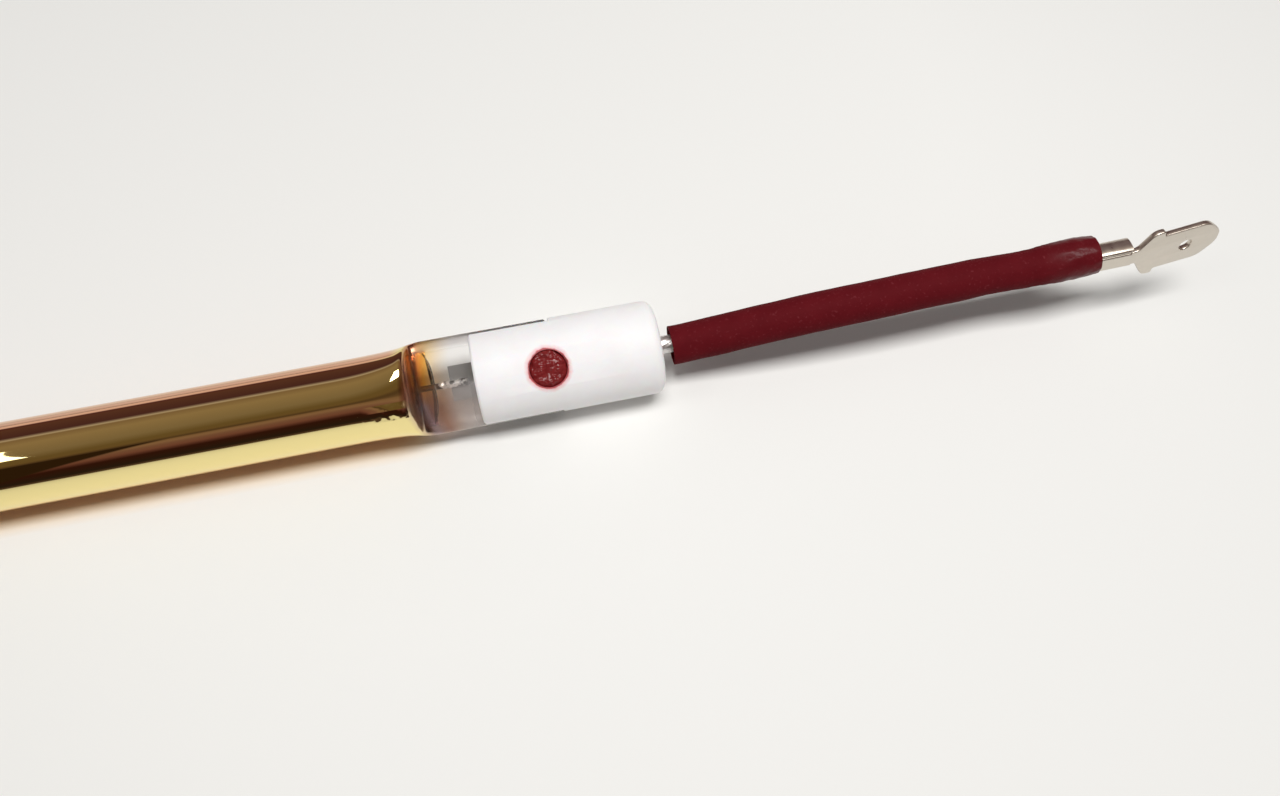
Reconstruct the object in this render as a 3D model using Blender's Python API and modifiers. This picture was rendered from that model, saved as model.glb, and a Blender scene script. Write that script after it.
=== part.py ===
"""Quartz halogen heating lamp: a coated tube with flat pinch seals, ceramic caps and tabbed leads."""

import math

import bmesh
import bpy
from mathutils import Matrix, Vector

MM = 0.001

# Whole lamp
BODY_LENGTH = 355.0 * MM
ROLL_FLATS = 3
ROUND_SIDES = 32
FIT_GAP = 0.3 * MM
WIRE_GAP = 0.2 * MM

# Quartz tube and its pinch seals
TUBE_OD = 11.0 * MM
TUBE_WALL = 1.2 * MM
PINCH_WIDTH = 12.2 * MM
PINCH_THICKNESS = 3.2 * MM
PINCH_BARE_LENGTH = 7.3 * MM
FLARE_LENGTH = 3.7 * MM
CAVITY_END_INBOARD = 5.0 * MM
CAVITY_END_LENGTH = 2.6 * MM
CAVITY_END_WIDTH = 9.8 * MM
CAVITY_END_HEIGHT = 1.8 * MM
QUARTZ_SIDES = 24
SECTION_SQUARENESS = 5.0
FLARE_STEPS = 5
CAVITY_END_STEPS = 4

# Filament and its supports
FILAMENT_FROM_RIM = 15.5 * MM
FILAMENT_DIAMETER = 2.0 * MM
FILAMENT_WIRE = 0.5 * MM
FILAMENT_PITCH = 6.0 * MM
FILAMENT_POINTS_PER_TURN = 8
SUPPORT_COUNT = 8
SUPPORT_WIRE = 0.3 * MM
SUPPORT_PITCH = 0.9 * MM
SUPPORT_TURNS = 2.5
SUPPORT_POINTS_PER_TURN = 9
SUPPORT_GRIP_TURNS = 0.9
SUPPORT_SPREAD_TURNS = 0.7

# Current path through each seal
INNER_LEAD_DIAMETER = 0.8 * MM
FOIL_WIDTH = 4.6 * MM
FOIL_LENGTH = 11.5 * MM
FOIL_THICKNESS = 0.1 * MM
FOIL_INBOARD = 3.45 * MM
FOIL_OVERLAP = 2.2 * MM
PIN_DIAMETER = 1.0 * MM

# Splice inside each cap
FERRULE_OD = 3.6 * MM
FERRULE_LENGTH = 6.0 * MM
FERRULE_PIN_BORE_LENGTH = 2.5 * MM
FERRULE_ROOM = 2.3 * MM

# Ceramic caps
CAP_OD = 12.4 * MM
CAP_EDGE_RADIUS = 1.3 * MM
CAP_EDGE_STEPS = 4
CAP_RIM_CHAMFER = 0.25 * MM
CAP_END_WALL = 3.0 * MM
CAP_BORE = 6.4 * MM
CAP_BORE_START = 8.0 * MM
SLOT_WIDTH = 3.9 * MM
SLOT_DEPTH = 10.4 * MM
WINDOW_FROM_RIM = 9.3 * MM
WINDOW_DIAMETER = 4.8 * MM
WINDOW_CHAMFER = 0.25 * MM
SEALANT_RECESS = 0.5 * MM
SEALANT_EDGE_DROP = 0.45 * MM
SEALANT_CROWN_DROP = 0.1 * MM
SEALANT_CROWN_SHARE = 0.55
SMALL_SIDES = 16

# Leads
CONDUCTOR_DIAMETER = 2.15 * MM
BARE_CONDUCTOR = 2.0 * MM
CRIMPED_CONDUCTOR = 1.6 * MM
CRIMP_TAPER = 1.2 * MM
SLEEVE_OD = 4.9 * MM
SLEEVE_WALL = 0.4 * MM
SLEEVE_LENGTH = 57.5 * MM
SLEEVE_BULGE_OD = 5.9 * MM
SLEEVE_BULGE_LENGTH = 10.0 * MM
SLEEVE_POINT_SPACING = 4.0 * MM
CONDUCTOR_POINT_SPACING = 5.0 * MM

# Tab terminals
BARREL_OD = 3.3 * MM
BARREL_FLAT = 1.3 * MM
BARREL_BORE = 1.9 * MM
BARREL_LENGTH = 9.5 * MM
BARREL_SHOWING = 4.1 * MM
BARREL_SIDES = 28
BARREL_SQUARENESS = 2.8
BARREL_GROOVE_DEPTH = 0.25 * MM
BARREL_GROOVE_AT = math.radians(52.0)
BARREL_GROOVE_SPREAD = math.radians(12.0)
TAB_THICKNESS = 0.8 * MM
TAB_WIDTH = 6.3 * MM
TAB_LENGTH = 8.3 * MM
TAB_TIP_CHAMFER = 2.1 * MM
TAB_HOLE = 1.7 * MM
TAB_HOLE_FROM_SHOULDER = 3.7 * MM
SHOULDER_OVERHANG = 0.8 * MM
SHOULDER_LENGTH = 1.4 * MM
NECK_WIDTH = 2.4 * MM
NECK_LENGTH = 2.35 * MM
NECK_STRAIGHT = 0.6 * MM
NECK_ROOT = 0.3 * MM
BLADE_DROP = 0.45 * MM
TAB_ROLL = math.radians(83.0)
TAB_BEND = math.radians(5.5)

# Route of the right lead: out from the cap's end face, sideways, and height above the table
LEAD_ROUTE = [
    (0.0, 0.0, 6.17),
    (2.5, 0.0, 6.17),
    (8.0, -0.08, 7.0),
    (14.0, -0.2, 8.2),
    (20.0, -0.33, 9.0),
    (26.0, -0.45, 9.55),
    (34.0, -0.6, 9.95),
    (42.0, -0.88, 10.05),
    (47.0, -1.3, 10.02),
    (50.2, -1.6, 10.17),
    (53.7, -1.75, 10.58),
]
STRAIGHT_END = 26.0 * MM

# Sizes that follow from those above
HALF_LENGTH = BODY_LENGTH / 2
CHAMBER_LENGTH = FERRULE_LENGTH + 2 * FERRULE_ROOM
CAP_LENGTH = SLOT_DEPTH + CHAMBER_LENGTH + CAP_END_WALL
RIM_X = HALF_LENGTH - CAP_LENGTH
LIT_LENGTH = 2 * (RIM_X - FILAMENT_FROM_RIM)
ROLL = ROLL_FLATS * 2 * math.pi / ROUND_SIDES
CAP_RADIUS = CAP_OD / 2
AXIS_HEIGHT = CAP_RADIUS * math.cos(math.pi / ROUND_SIDES)
TUBE_RADIUS = TUBE_OD / 2
BORE_RADIUS = TUBE_RADIUS - TUBE_WALL
PINCH_END = SLOT_DEPTH - FIT_GAP
FOIL_DROP = INNER_LEAD_DIAMETER / 2 + WIRE_GAP + FOIL_THICKNESS / 2
SEAL_TOP = PIN_DIAMETER / 2 + FIT_GAP
SEAL_BOTTOM = FOIL_DROP + FOIL_THICKNESS / 2 + FIT_GAP
SEAL_WIDTH = FOIL_WIDTH + 2 * FIT_GAP
FERRULE_START = SLOT_DEPTH + FERRULE_ROOM
PIN_END = FERRULE_START + FERRULE_PIN_BORE_LENGTH
LEAD_HOLE = CONDUCTOR_DIAMETER + 2 * FIT_GAP
SLEEVE_END = BARE_CONDUCTOR + SLEEVE_LENGTH
BARREL_END = SLEEVE_END + BARREL_SHOWING
BARREL_START = BARREL_END - BARREL_LENGTH

SIDES = {"right": 1, "left": -1}


def clear_scene():
    for old in list(bpy.data.objects):
        bpy.data.objects.remove(old, do_unlink=True)


def new_collection(name):
    collection = bpy.data.collections.new(name)
    bpy.context.scene.collection.children.link(collection)
    return collection


def material(name, colour, roughness, metallic):
    made = bpy.data.materials.new(name)
    made.use_nodes = True
    shader = made.node_tree.nodes["Principled BSDF"]
    shader.inputs["Base Color"].default_value = (*colour, 1.0)
    shader.inputs["Roughness"].default_value = roughness
    shader.inputs["Metallic"].default_value = metallic
    return made


def add_object(name, data, collection, parent=None, finish=None):
    made = bpy.data.objects.new(name, data)
    collection.objects.link(made)
    made.parent = parent
    if finish is not None:
        data.materials.append(finish)
    return made


def shade_round(obj, angle=35.0):
    obj.data.shade_smooth()
    obj.data.set_sharp_from_angle(angle=math.radians(angle))


def frame_empty(name, collection, parent=None):
    empty = bpy.data.objects.new(name, None)
    empty.empty_display_size = CAP_RADIUS
    collection.objects.link(empty)
    empty.parent = parent
    return empty


def turned(name, profile, collection, parent, finish=None, sides=ROUND_SIDES):
    """A closed (radius, height) profile, turned about Z and laid along X, with a flat facing each axis."""
    phase = math.pi / sides
    mesh = bpy.data.meshes.new(name)
    points = [(r * math.cos(phase), r * math.sin(phase), h) for r, h in profile]
    edges = [(i, (i + 1) % len(points)) for i in range(len(points))]
    mesh.from_pydata(points, edges, [])
    obj = add_object(name, mesh, collection, parent, finish)
    obj.rotation_euler = (0.0, math.pi / 2, 0.0)
    screw = obj.modifiers.new("turn", "SCREW")
    screw.axis = "Z"
    screw.steps = sides
    screw.render_steps = sides
    screw.use_merge_vertices = True
    screw.merge_threshold = 0.00001
    return obj


def as_cutter(obj):
    obj.hide_render = True
    obj.display_type = "WIRE"
    return obj


def cut(obj, cutter):
    boolean = obj.modifiers.new("cut " + cutter.name, "BOOLEAN")
    boolean.operation = "DIFFERENCE"
    boolean.solver = "EXACT"
    boolean.object = cutter


def box_mesh(name, low, high):
    mesh = bpy.data.meshes.new(name)
    low, high = Vector(low), Vector(high)
    size = high - low
    place = Matrix.Translation((low + high) / 2) @ Matrix.Diagonal((*size, 1.0))
    bm = bmesh.new()
    bmesh.ops.create_cube(bm, size=1.0, matrix=place)
    bm.to_mesh(mesh)
    bm.free()
    return mesh


def poly_curve(name, points, depth, resolution, radii=None, caps=True):
    curve = bpy.data.curves.new(name, "CURVE")
    curve.dimensions = "3D"
    curve.bevel_depth = depth
    curve.bevel_resolution = resolution
    curve.use_fill_caps = caps
    spline = curve.splines.new("POLY")
    spline.points.add(len(points) - 1)
    for index, point in enumerate(points):
        spline.points[index].co = (*point, 1.0)
        spline.points[index].radius = radii[index] if radii else 1.0
    return curve


def flat_curve(name, outlines, half_thickness):
    curve = bpy.data.curves.new(name, "CURVE")
    curve.dimensions = "2D"
    curve.fill_mode = "BOTH"
    curve.extrude = half_thickness
    for outline in outlines:
        spline = curve.splines.new("POLY")
        spline.points.add(len(outline) - 1)
        for index, (x, y) in enumerate(outline):
            spline.points[index].co = (x, y, 0.0, 1.0)
        spline.use_cyclic_u = True
    return curve


def mesh_from_curve(curve, place):
    """The curve as a closed mesh with its caps welded, put in place by a matrix."""
    holder = bpy.data.objects.new(curve.name, curve)
    bpy.context.scene.collection.objects.link(holder)
    bpy.context.view_layer.update()
    depsgraph = bpy.context.evaluated_depsgraph_get()
    mesh = bpy.data.meshes.new_from_object(holder.evaluated_get(depsgraph))
    bpy.data.objects.remove(holder, do_unlink=True)
    bm = bmesh.new()
    bm.from_mesh(mesh)
    bmesh.ops.remove_doubles(bm, verts=bm.verts, dist=0.000005)
    bmesh.ops.transform(bm, matrix=place, verts=bm.verts)
    bm.to_mesh(mesh)
    bm.free()
    return mesh


# Quartz envelope


def round_ring(x, radius):
    ring = []
    for index in range(QUARTZ_SIDES):
        angle = 2 * math.pi * index / QUARTZ_SIDES
        ring.append(Vector((x, radius * math.cos(angle), radius * math.sin(angle))))
    return ring


def flat_ring(x, half_width, half_height, centre_z=0.0):
    """A rounded oblong section, as a superellipse."""
    power = 2 / SECTION_SQUARENESS
    ring = []
    for index in range(QUARTZ_SIDES):
        angle = 2 * math.pi * index / QUARTZ_SIDES
        c, s = math.cos(angle), math.sin(angle)
        y = half_width * math.copysign(abs(c) ** power, c)
        z = half_height * math.copysign(abs(s) ** power, s)
        ring.append(Vector((x, y, centre_z + z)))
    return ring


def blend_rings(first, second, share):
    return [a.lerp(b, share) for a, b in zip(first, second)]


def smooth_step(t):
    return t * t * (3 - 2 * t)


def flare_rings(start, length, radius, half_width, half_height):
    """Sections from the round tube to the flattened seal."""
    rings = []
    for step in range(FLARE_STEPS + 1):
        share = step / FLARE_STEPS
        x = start + length * share
        rings.append(blend_rings(round_ring(x, radius), flat_ring(x, half_width, half_height),
                                 smooth_step(share)))
    return rings


def envelope_rings():
    """Half of the envelope from its middle: out along the outside, and back along the hollow."""
    pinch_start = RIM_X - PINCH_BARE_LENGTH
    flare_start = pinch_start - FLARE_LENGTH
    pinch_end = RIM_X + PINCH_END
    seal_height = (SEAL_TOP + SEAL_BOTTOM) / 2
    seal_centre = (SEAL_TOP - SEAL_BOTTOM) / 2
    cavity_end = RIM_X - CAVITY_END_INBOARD
    dome_start = cavity_end - CAVITY_END_LENGTH
    rings = [round_ring(0.0, TUBE_RADIUS)]
    rings += flare_rings(flare_start, FLARE_LENGTH, TUBE_RADIUS, PINCH_WIDTH / 2, PINCH_THICKNESS / 2)
    rings.append(flat_ring(pinch_end, PINCH_WIDTH / 2, PINCH_THICKNESS / 2))
    rings.append(flat_ring(pinch_end, SEAL_WIDTH / 2, seal_height, seal_centre))
    half_width, half_height = CAVITY_END_WIDTH / 2, CAVITY_END_HEIGHT / 2
    for step in range(CAVITY_END_STEPS):
        t = 1 - step / CAVITY_END_STEPS
        share = math.sqrt(1 - t * t)
        width = SEAL_WIDTH / 2 + (half_width - SEAL_WIDTH / 2) * share
        height = seal_height + (half_height - seal_height) * share
        x = dome_start + CAVITY_END_LENGTH * t
        rings.append(flat_ring(x, width, height, seal_centre * (1 - share)))
    inner = flare_rings(flare_start, dome_start - flare_start, BORE_RADIUS, half_width, half_height)
    rings += reversed(inner)
    rings.append(round_ring(0.0, BORE_RADIUS))
    return rings


def make_envelope(collection, parent, finish):
    bm = bmesh.new()
    loops = [[bm.verts.new(point) for point in ring] for ring in envelope_rings()]
    for near, far in zip(loops, loops[1:]):
        for index in range(QUARTZ_SIDES):
            after = (index + 1) % QUARTZ_SIDES
            bm.faces.new((near[index], near[after], far[after], far[index]))
    bmesh.ops.recalc_face_normals(bm, faces=bm.faces)
    mesh = bpy.data.meshes.new("quartz_envelope")
    bm.to_mesh(mesh)
    bm.free()
    obj = add_object("quartz_envelope", mesh, collection, parent, finish)
    mirror = obj.modifiers.new("other end", "MIRROR")
    mirror.use_axis = (True, False, False)
    mirror.use_mirror_merge = True
    mirror.merge_threshold = 0.00001
    shade_round(obj, 50.0)
    return obj


# Filament, supports and seals


def make_filament(collection, parent, finish):
    turns = LIT_LENGTH / FILAMENT_PITCH
    count = round(turns * FILAMENT_POINTS_PER_TURN)
    radius = FILAMENT_DIAMETER / 2
    points = []
    for index in range(count + 1):
        angle = 2 * math.pi * index / FILAMENT_POINTS_PER_TURN
        x = -LIT_LENGTH / 2 + LIT_LENGTH * index / count
        points.append((x, radius * math.cos(angle), radius * math.sin(angle)))
    curve = poly_curve("tungsten_filament", points, FILAMENT_WIRE / 2, 0)
    return add_object("tungsten_filament", curve, collection, parent, finish)


def support_points(centre_x):
    """A wire that circles the filament, then spirals out to the wall of the tube."""
    inner = FILAMENT_DIAMETER / 2 + FILAMENT_WIRE / 2 + FIT_GAP + SUPPORT_WIRE / 2
    outer = BORE_RADIUS - FIT_GAP - SUPPORT_WIRE / 2
    count = round(SUPPORT_TURNS * SUPPORT_POINTS_PER_TURN)
    points = []
    for index in range(count + 1):
        turn = index / SUPPORT_POINTS_PER_TURN
        spread = smooth_step(min(max(turn - SUPPORT_GRIP_TURNS, 0.0) / SUPPORT_SPREAD_TURNS, 1.0))
        radius = inner + (outer - inner) * spread
        angle = 2 * math.pi * turn
        x = centre_x + SUPPORT_PITCH * (turn - SUPPORT_TURNS / 2)
        points.append((x, radius * math.cos(angle), radius * math.sin(angle)))
    return points


def make_supports(collection, parent, finish):
    spacing = LIT_LENGTH / SUPPORT_COUNT
    for index in range(SUPPORT_COUNT):
        name = f"filament_support_{index + 1:02d}"
        centre = -LIT_LENGTH / 2 + spacing * (index + 0.5)
        curve = poly_curve(name, support_points(centre), SUPPORT_WIRE / 2, 0)
        add_object(name, curve, collection, parent, finish)


def make_rod(name, start, end, diameter, collection, parent, finish):
    curve = poly_curve(name, [start, end], diameter / 2, 2)
    return add_object(name, curve, collection, parent, finish)


def make_seal(side, collection, parent, finishes):
    """The current path through one seal, with X running outward from the cap's inner rim."""
    foil_start = -FOIL_INBOARD
    foil_end = foil_start + FOIL_LENGTH
    coil_end = LIT_LENGTH / 2 - RIM_X + FILAMENT_WIRE / 2 + WIRE_GAP
    make_rod("inner_lead_" + side, (coil_end, 0, 0), (foil_start + FOIL_OVERLAP, 0, 0),
             INNER_LEAD_DIAMETER, collection, parent, finishes["tungsten"])
    make_rod("outer_pin_" + side, (foil_end - FOIL_OVERLAP, 0, 0), (PIN_END, 0, 0),
             PIN_DIAMETER, collection, parent, finishes["molybdenum"])
    low = (foil_start, -FOIL_WIDTH / 2, -FOIL_DROP - FOIL_THICKNESS / 2)
    high = (foil_end, FOIL_WIDTH / 2, -FOIL_DROP + FOIL_THICKNESS / 2)
    foil = box_mesh("seal_foil_" + side, low, high)
    add_object("seal_foil_" + side, foil, collection, parent, finishes["foil"])


# Ceramic cap, sealant and splice


def cap_profile():
    hole, core = LEAD_HOLE / 2, SLOT_WIDTH / 2 - FIT_GAP
    profile = [(hole, CAP_LENGTH)]
    for step in range(CAP_EDGE_STEPS + 1):
        angle = math.pi / 2 * step / CAP_EDGE_STEPS
        radius = CAP_RADIUS - CAP_EDGE_RADIUS * (1 - math.sin(angle))
        height = CAP_LENGTH - CAP_EDGE_RADIUS * (1 - math.cos(angle))
        profile.append((radius, height))
    profile.append((CAP_RADIUS, CAP_RIM_CHAMFER))
    profile.append((CAP_RADIUS - CAP_RIM_CHAMFER, 0.0))
    profile += [(core, 0.0), (core, CAP_BORE_START), (CAP_BORE / 2, CAP_BORE_START)]
    profile += [(CAP_BORE / 2, CAP_LENGTH - CAP_END_WALL), (hole, CAP_LENGTH - CAP_END_WALL)]
    return profile


def window_profile():
    """The sealant window's cutter, wider at the cap's skin."""
    radius = WINDOW_DIAMETER / 2
    skin = CAP_RADIUS - WINDOW_CHAMFER
    over = CAP_RADIUS + WINDOW_CHAMFER
    return [(0.0, over), (radius + 2 * WINDOW_CHAMFER, over), (radius, skin), (radius, 0.0), (0.0, 0.0)]


def make_cap(side, collection, cutters, parent, finish):
    cap = turned("ceramic_cap_" + side, cap_profile(), collection, parent, finish)
    reach = CAP_RADIUS + CAP_EDGE_RADIUS
    slot_mesh = box_mesh("slot_" + side, (-CAP_EDGE_RADIUS, -reach, -SLOT_WIDTH / 2),
                         (SLOT_DEPTH, reach, SLOT_WIDTH / 2))
    slot = as_cutter(add_object("slot_" + side, slot_mesh, cutters, parent))
    window = turned("window_" + side, window_profile(), cutters, parent, sides=SMALL_SIDES)
    window.rotation_euler = (0.0, 0.0, 0.0)
    window.location = (WINDOW_FROM_RIM, 0.0, 0.0)
    cut(cap, slot)
    cut(cap, as_cutter(window))
    shade_round(cap)
    return cap


def sealant_profile():
    """The set sealant in the window: a low dome that stops short of the skin."""
    radius = WINDOW_DIAMETER / 2 - FIT_GAP
    foot = PINCH_THICKNESS / 2 + FIT_GAP
    crown = CAP_RADIUS - SEALANT_RECESS
    return [(0.0, crown), (radius * SEALANT_CROWN_SHARE, crown - SEALANT_CROWN_DROP),
            (radius, crown - SEALANT_EDGE_DROP), (radius, foot), (0.0, foot)]


def make_sealant(side, collection, parent, finish):
    plug = turned("sealant_plug_" + side, sealant_profile(), collection, parent, finish, SMALL_SIDES)
    plug.rotation_euler = (0.0, 0.0, 0.0)
    plug.location = (WINDOW_FROM_RIM, 0.0, 0.0)
    return plug


def make_ferrule(side, collection, parent, finish):
    """The crimped barrel that joins the pin to the stranded lead."""
    start, end = FERRULE_START, FERRULE_START + FERRULE_LENGTH
    step = PIN_END + FIT_GAP
    pin_bore, lead_bore = PIN_DIAMETER / 2 + FIT_GAP, LEAD_HOLE / 2
    outer = FERRULE_OD / 2
    profile = [(lead_bore, end), (outer, end), (outer, start), (pin_bore, start),
               (pin_bore, step), (lead_bore, step)]
    return turned("splice_ferrule_" + side, profile, collection, parent, finish, SMALL_SIDES)


# Leads and tab terminals


def smooth_path(points, steps=12):
    """A dense Catmull-Rom curve through the points."""
    ends = [2 * points[0] - points[1]] + points + [2 * points[-1] - points[-2]]
    path = []
    for a, b, c, d in zip(ends, ends[1:], ends[2:], ends[3:]):
        for step in range(steps):
            t = step / steps
            path.append(0.5 * (2 * b + (c - a) * t + (2 * a - 5 * b + 4 * c - d) * t ** 2
                               + (3 * b - a - 3 * c + d) * t ** 3))
    path.append(points[-1])
    return path


def lead_path(sign):
    """The lead's centre line, from inside the cap to past the tab, at one end of the lamp."""
    route = [Vector((sign * (HALF_LENGTH + x * MM), y * MM, z * MM)) for x, y, z in LEAD_ROUTE]
    route[0].z = AXIS_HEIGHT
    route[1].z = AXIS_HEIGHT
    inside = route[0] - Vector((sign * (CAP_LENGTH - PIN_END), 0.0, 0.0))
    path = smooth_path(route)
    heading = (route[-1] - route[-2]).normalized()
    path.append(path[-1] + heading * STRAIGHT_END)
    return [inside] + path


def stretch(path, start, end, spacing):
    """Even points between two distances along the path, measured from the cap's end face."""
    offset = (path[1] - path[0]).length
    count = max(2, round((end - start) / spacing))
    wanted = [offset + start + (end - start) * index / count for index in range(count + 1)]
    points = []
    travelled = 0.0
    for a, b in zip(path, path[1:]):
        length = (b - a).length
        while wanted and wanted[0] <= travelled + length + 1e-9:
            points.append(a.lerp(b, (wanted.pop(0) - travelled) / length))
        travelled += length
    return points


def sleeve_radius(distance):
    """The sleeve swells over the crimp and closes in again at its end."""
    swell = (distance - (SLEEVE_END - SLEEVE_BULGE_LENGTH)) / SLEEVE_BULGE_LENGTH
    bump = math.sin(math.pi * swell) if 0.0 < swell < 1.0 else 0.0
    return SLEEVE_OD / 2 + (SLEEVE_BULGE_OD - SLEEVE_OD) / 2 * bump


def make_conductor(side, path, collection, finish):
    """The stranded conductor, squeezed thinner where the terminal's barrel grips it."""
    inside = -(CAP_LENGTH - PIN_END - 2 * FIT_GAP)
    gripped = BARREL_START - FIT_GAP
    crimped_end = BARREL_END - NECK_ROOT - FIT_GAP
    full = stretch(path, inside, gripped - CRIMP_TAPER, CONDUCTOR_POINT_SPACING)
    crimped = stretch(path, gripped, crimped_end, CONDUCTOR_POINT_SPACING)
    radii = [1.0] * len(full) + [CRIMPED_CONDUCTOR / CONDUCTOR_DIAMETER] * len(crimped)
    curve = poly_curve("lead_conductor_" + side, full + crimped, CONDUCTOR_DIAMETER / 2, 2, radii)
    return add_object("lead_conductor_" + side, curve, collection, None, finish)


def make_sleeve(side, path, collection, finish):
    points = stretch(path, BARE_CONDUCTOR, SLEEVE_END, SLEEVE_POINT_SPACING)
    count = len(points) - 1
    middle = (SLEEVE_OD - SLEEVE_WALL) / 2
    radii = []
    for index in range(count + 1):
        distance = BARE_CONDUCTOR + SLEEVE_LENGTH * index / count
        radii.append((sleeve_radius(distance) - SLEEVE_WALL / 2) / middle)
    curve = poly_curve("lead_sleeve_" + side, points, middle, 4, radii, caps=False)
    obj = add_object("lead_sleeve_" + side, curve, collection, None, finish)
    wall = obj.modifiers.new("wall", "SOLIDIFY")
    wall.thickness = SLEEVE_WALL
    wall.offset = 0.0
    return obj


def barrel_outlines():
    """The rolled crimp: squarish, flat on the blade's side, grooved where the rolled edge meets it, and bored."""
    skin = []
    hole = []
    for index in range(BARREL_SIDES):
        angle = 2 * math.pi * index / BARREL_SIDES
        c, s = math.cos(angle), math.sin(angle)
        square = (abs(c) ** BARREL_SQUARENESS + abs(s) ** BARREL_SQUARENESS) ** (-1 / BARREL_SQUARENESS)
        off_groove = math.remainder(angle - BARREL_GROOVE_AT, 2 * math.pi) / BARREL_GROOVE_SPREAD
        dip = BARREL_GROOVE_DEPTH * math.exp(-off_groove ** 2)
        radius = BARREL_OD / 2 * square
        skin.append(((radius - dip) * c, min(radius * s, BARREL_FLAT) - dip * s))
        if index % 2 == 0:
            hole.append((BARREL_BORE / 2 * c, BARREL_BORE / 2 * s))
    return [skin, hole]


def circle_outline(centre_x, centre_y, radius):
    angles = [2 * math.pi * index / SMALL_SIDES for index in range(SMALL_SIDES)]
    return [(centre_x + radius * math.cos(angle), centre_y + radius * math.sin(angle)) for angle in angles]


def blade_outlines():
    """The flat tab from above: a neck in line with the barrel, then shoulders and blade set a little lower."""
    neck = NECK_WIDTH / 2
    half_blade = TAB_WIDTH / 2
    half_shoulder = half_blade + SHOULDER_OVERHANG
    shoulder_x = NECK_LENGTH
    blade_x = shoulder_x + SHOULDER_LENGTH
    tip = blade_x + TAB_LENGTH
    edge = [(shoulder_x, half_shoulder), (blade_x, half_shoulder), (blade_x, half_blade),
            (tip - TAB_TIP_CHAMFER, half_blade), (tip, half_blade - TAB_TIP_CHAMFER)]
    upper = [(-NECK_ROOT, neck), (NECK_STRAIGHT, neck)] + [(x, y - BLADE_DROP) for x, y in edge]
    lower = [(x, -y - BLADE_DROP) for x, y in reversed(edge)] + [(NECK_STRAIGHT, -neck), (-NECK_ROOT, -neck)]
    return [upper + lower, circle_outline(blade_x + TAB_HOLE_FROM_SHOULDER, -BLADE_DROP, TAB_HOLE / 2)]


def make_terminal(side, path, collection, cutters, finish):
    """The tab and its crimp, with X along the lead, the barrel's outer end at X = 0 and the groove near +Z."""
    along_x = Matrix(((0, 0, 1), (1, 0, 0), (0, 1, 0))).to_4x4()
    barrel_place = Matrix.Translation((-BARREL_LENGTH / 2, 0.0, 0.0)) @ along_x
    barrel_mesh = mesh_from_curve(flat_curve("barrel_" + side, barrel_outlines(), BARREL_LENGTH / 2),
                                  barrel_place)
    lift = Matrix.Translation((0.0, 0.0, BARREL_FLAT - TAB_THICKNESS / 2))
    blade_place = lift @ Matrix.Rotation(TAB_BEND, 4, "Y")
    blade_mesh = mesh_from_curve(flat_curve("blade_" + side, blade_outlines(), TAB_THICKNESS / 2),
                                 blade_place)
    heading = (path[-1] - path[-2]).normalized()
    seam = Vector((0.0, -math.sin(TAB_ROLL), math.cos(TAB_ROLL)))
    seam = (seam - heading * seam.dot(heading)).normalized()
    turn = Matrix((heading, seam.cross(heading), seam)).transposed().to_euler()
    barrel_end = stretch(path, 0.0, BARREL_END, HALF_LENGTH)[-1]
    terminal = add_object("tab_terminal_" + side, blade_mesh, collection, None, finish)
    barrel = as_cutter(add_object("crimp_barrel_" + side, barrel_mesh, cutters))
    for piece in (terminal, barrel):
        piece.location = barrel_end
        piece.rotation_euler = turn
    join = terminal.modifiers.new("join barrel", "BOOLEAN")
    join.operation = "UNION"
    join.solver = "EXACT"
    join.object = barrel
    shade_round(terminal)
    return terminal


def main():
    clear_scene()
    parts = new_collection("quartz_heating_lamp")
    cutters = new_collection("cutters")
    finishes = {
        "quartz": material("coated_quartz", (0.62, 0.44, 0.16), 0.12, 0.8),
        "tungsten": material("tungsten", (0.34, 0.34, 0.36), 0.4, 1.0),
        "molybdenum": material("molybdenum", (0.42, 0.42, 0.44), 0.35, 1.0),
        "foil": material("molybdenum_foil", (0.5, 0.5, 0.52), 0.3, 1.0),
        "ceramic": material("white_ceramic", (0.86, 0.83, 0.82), 0.6, 0.0),
        "sealant": material("red_sealant", (0.2, 0.012, 0.01), 0.18, 0.0),
        "wire": material("nickel_conductor", (0.6, 0.57, 0.54), 0.35, 1.0),
        "sleeve": material("maroon_sleeving", (0.05, 0.008, 0.012), 0.5, 0.0),
        "tin": material("plated_tab", (0.66, 0.6, 0.53), 0.32, 1.0),
    }
    lamp = frame_empty("lamp_axis", parts)
    lamp.location = (0.0, 0.0, AXIS_HEIGHT)
    lamp.rotation_euler = (ROLL, 0.0, 0.0)
    make_envelope(parts, lamp, finishes["quartz"])
    make_filament(parts, lamp, finishes["tungsten"])
    make_supports(parts, lamp, finishes["tungsten"])
    for side, sign in SIDES.items():
        end = frame_empty("end_frame_" + side, parts, lamp)
        end.location = (sign * RIM_X, 0.0, 0.0)
        end.rotation_euler = (0.0, 0.0, 0.0 if sign > 0 else math.pi)
        make_seal(side, parts, end, finishes)
        make_cap(side, parts, cutters, end, finishes["ceramic"])
        make_sealant(side, parts, end, finishes["sealant"])
        make_ferrule(side, parts, end, finishes["wire"])
        path = lead_path(sign)
        make_conductor(side, path, parts, finishes["wire"])
        make_sleeve(side, path, parts, finishes["sleeve"])
        make_terminal(side, path, parts, cutters, finishes["tin"])


main()
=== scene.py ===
"""Looks of the quartz heating lamp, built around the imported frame."""

import math

import bmesh
import bpy
from mathutils import Euler, Matrix, Vector, noise


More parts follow.
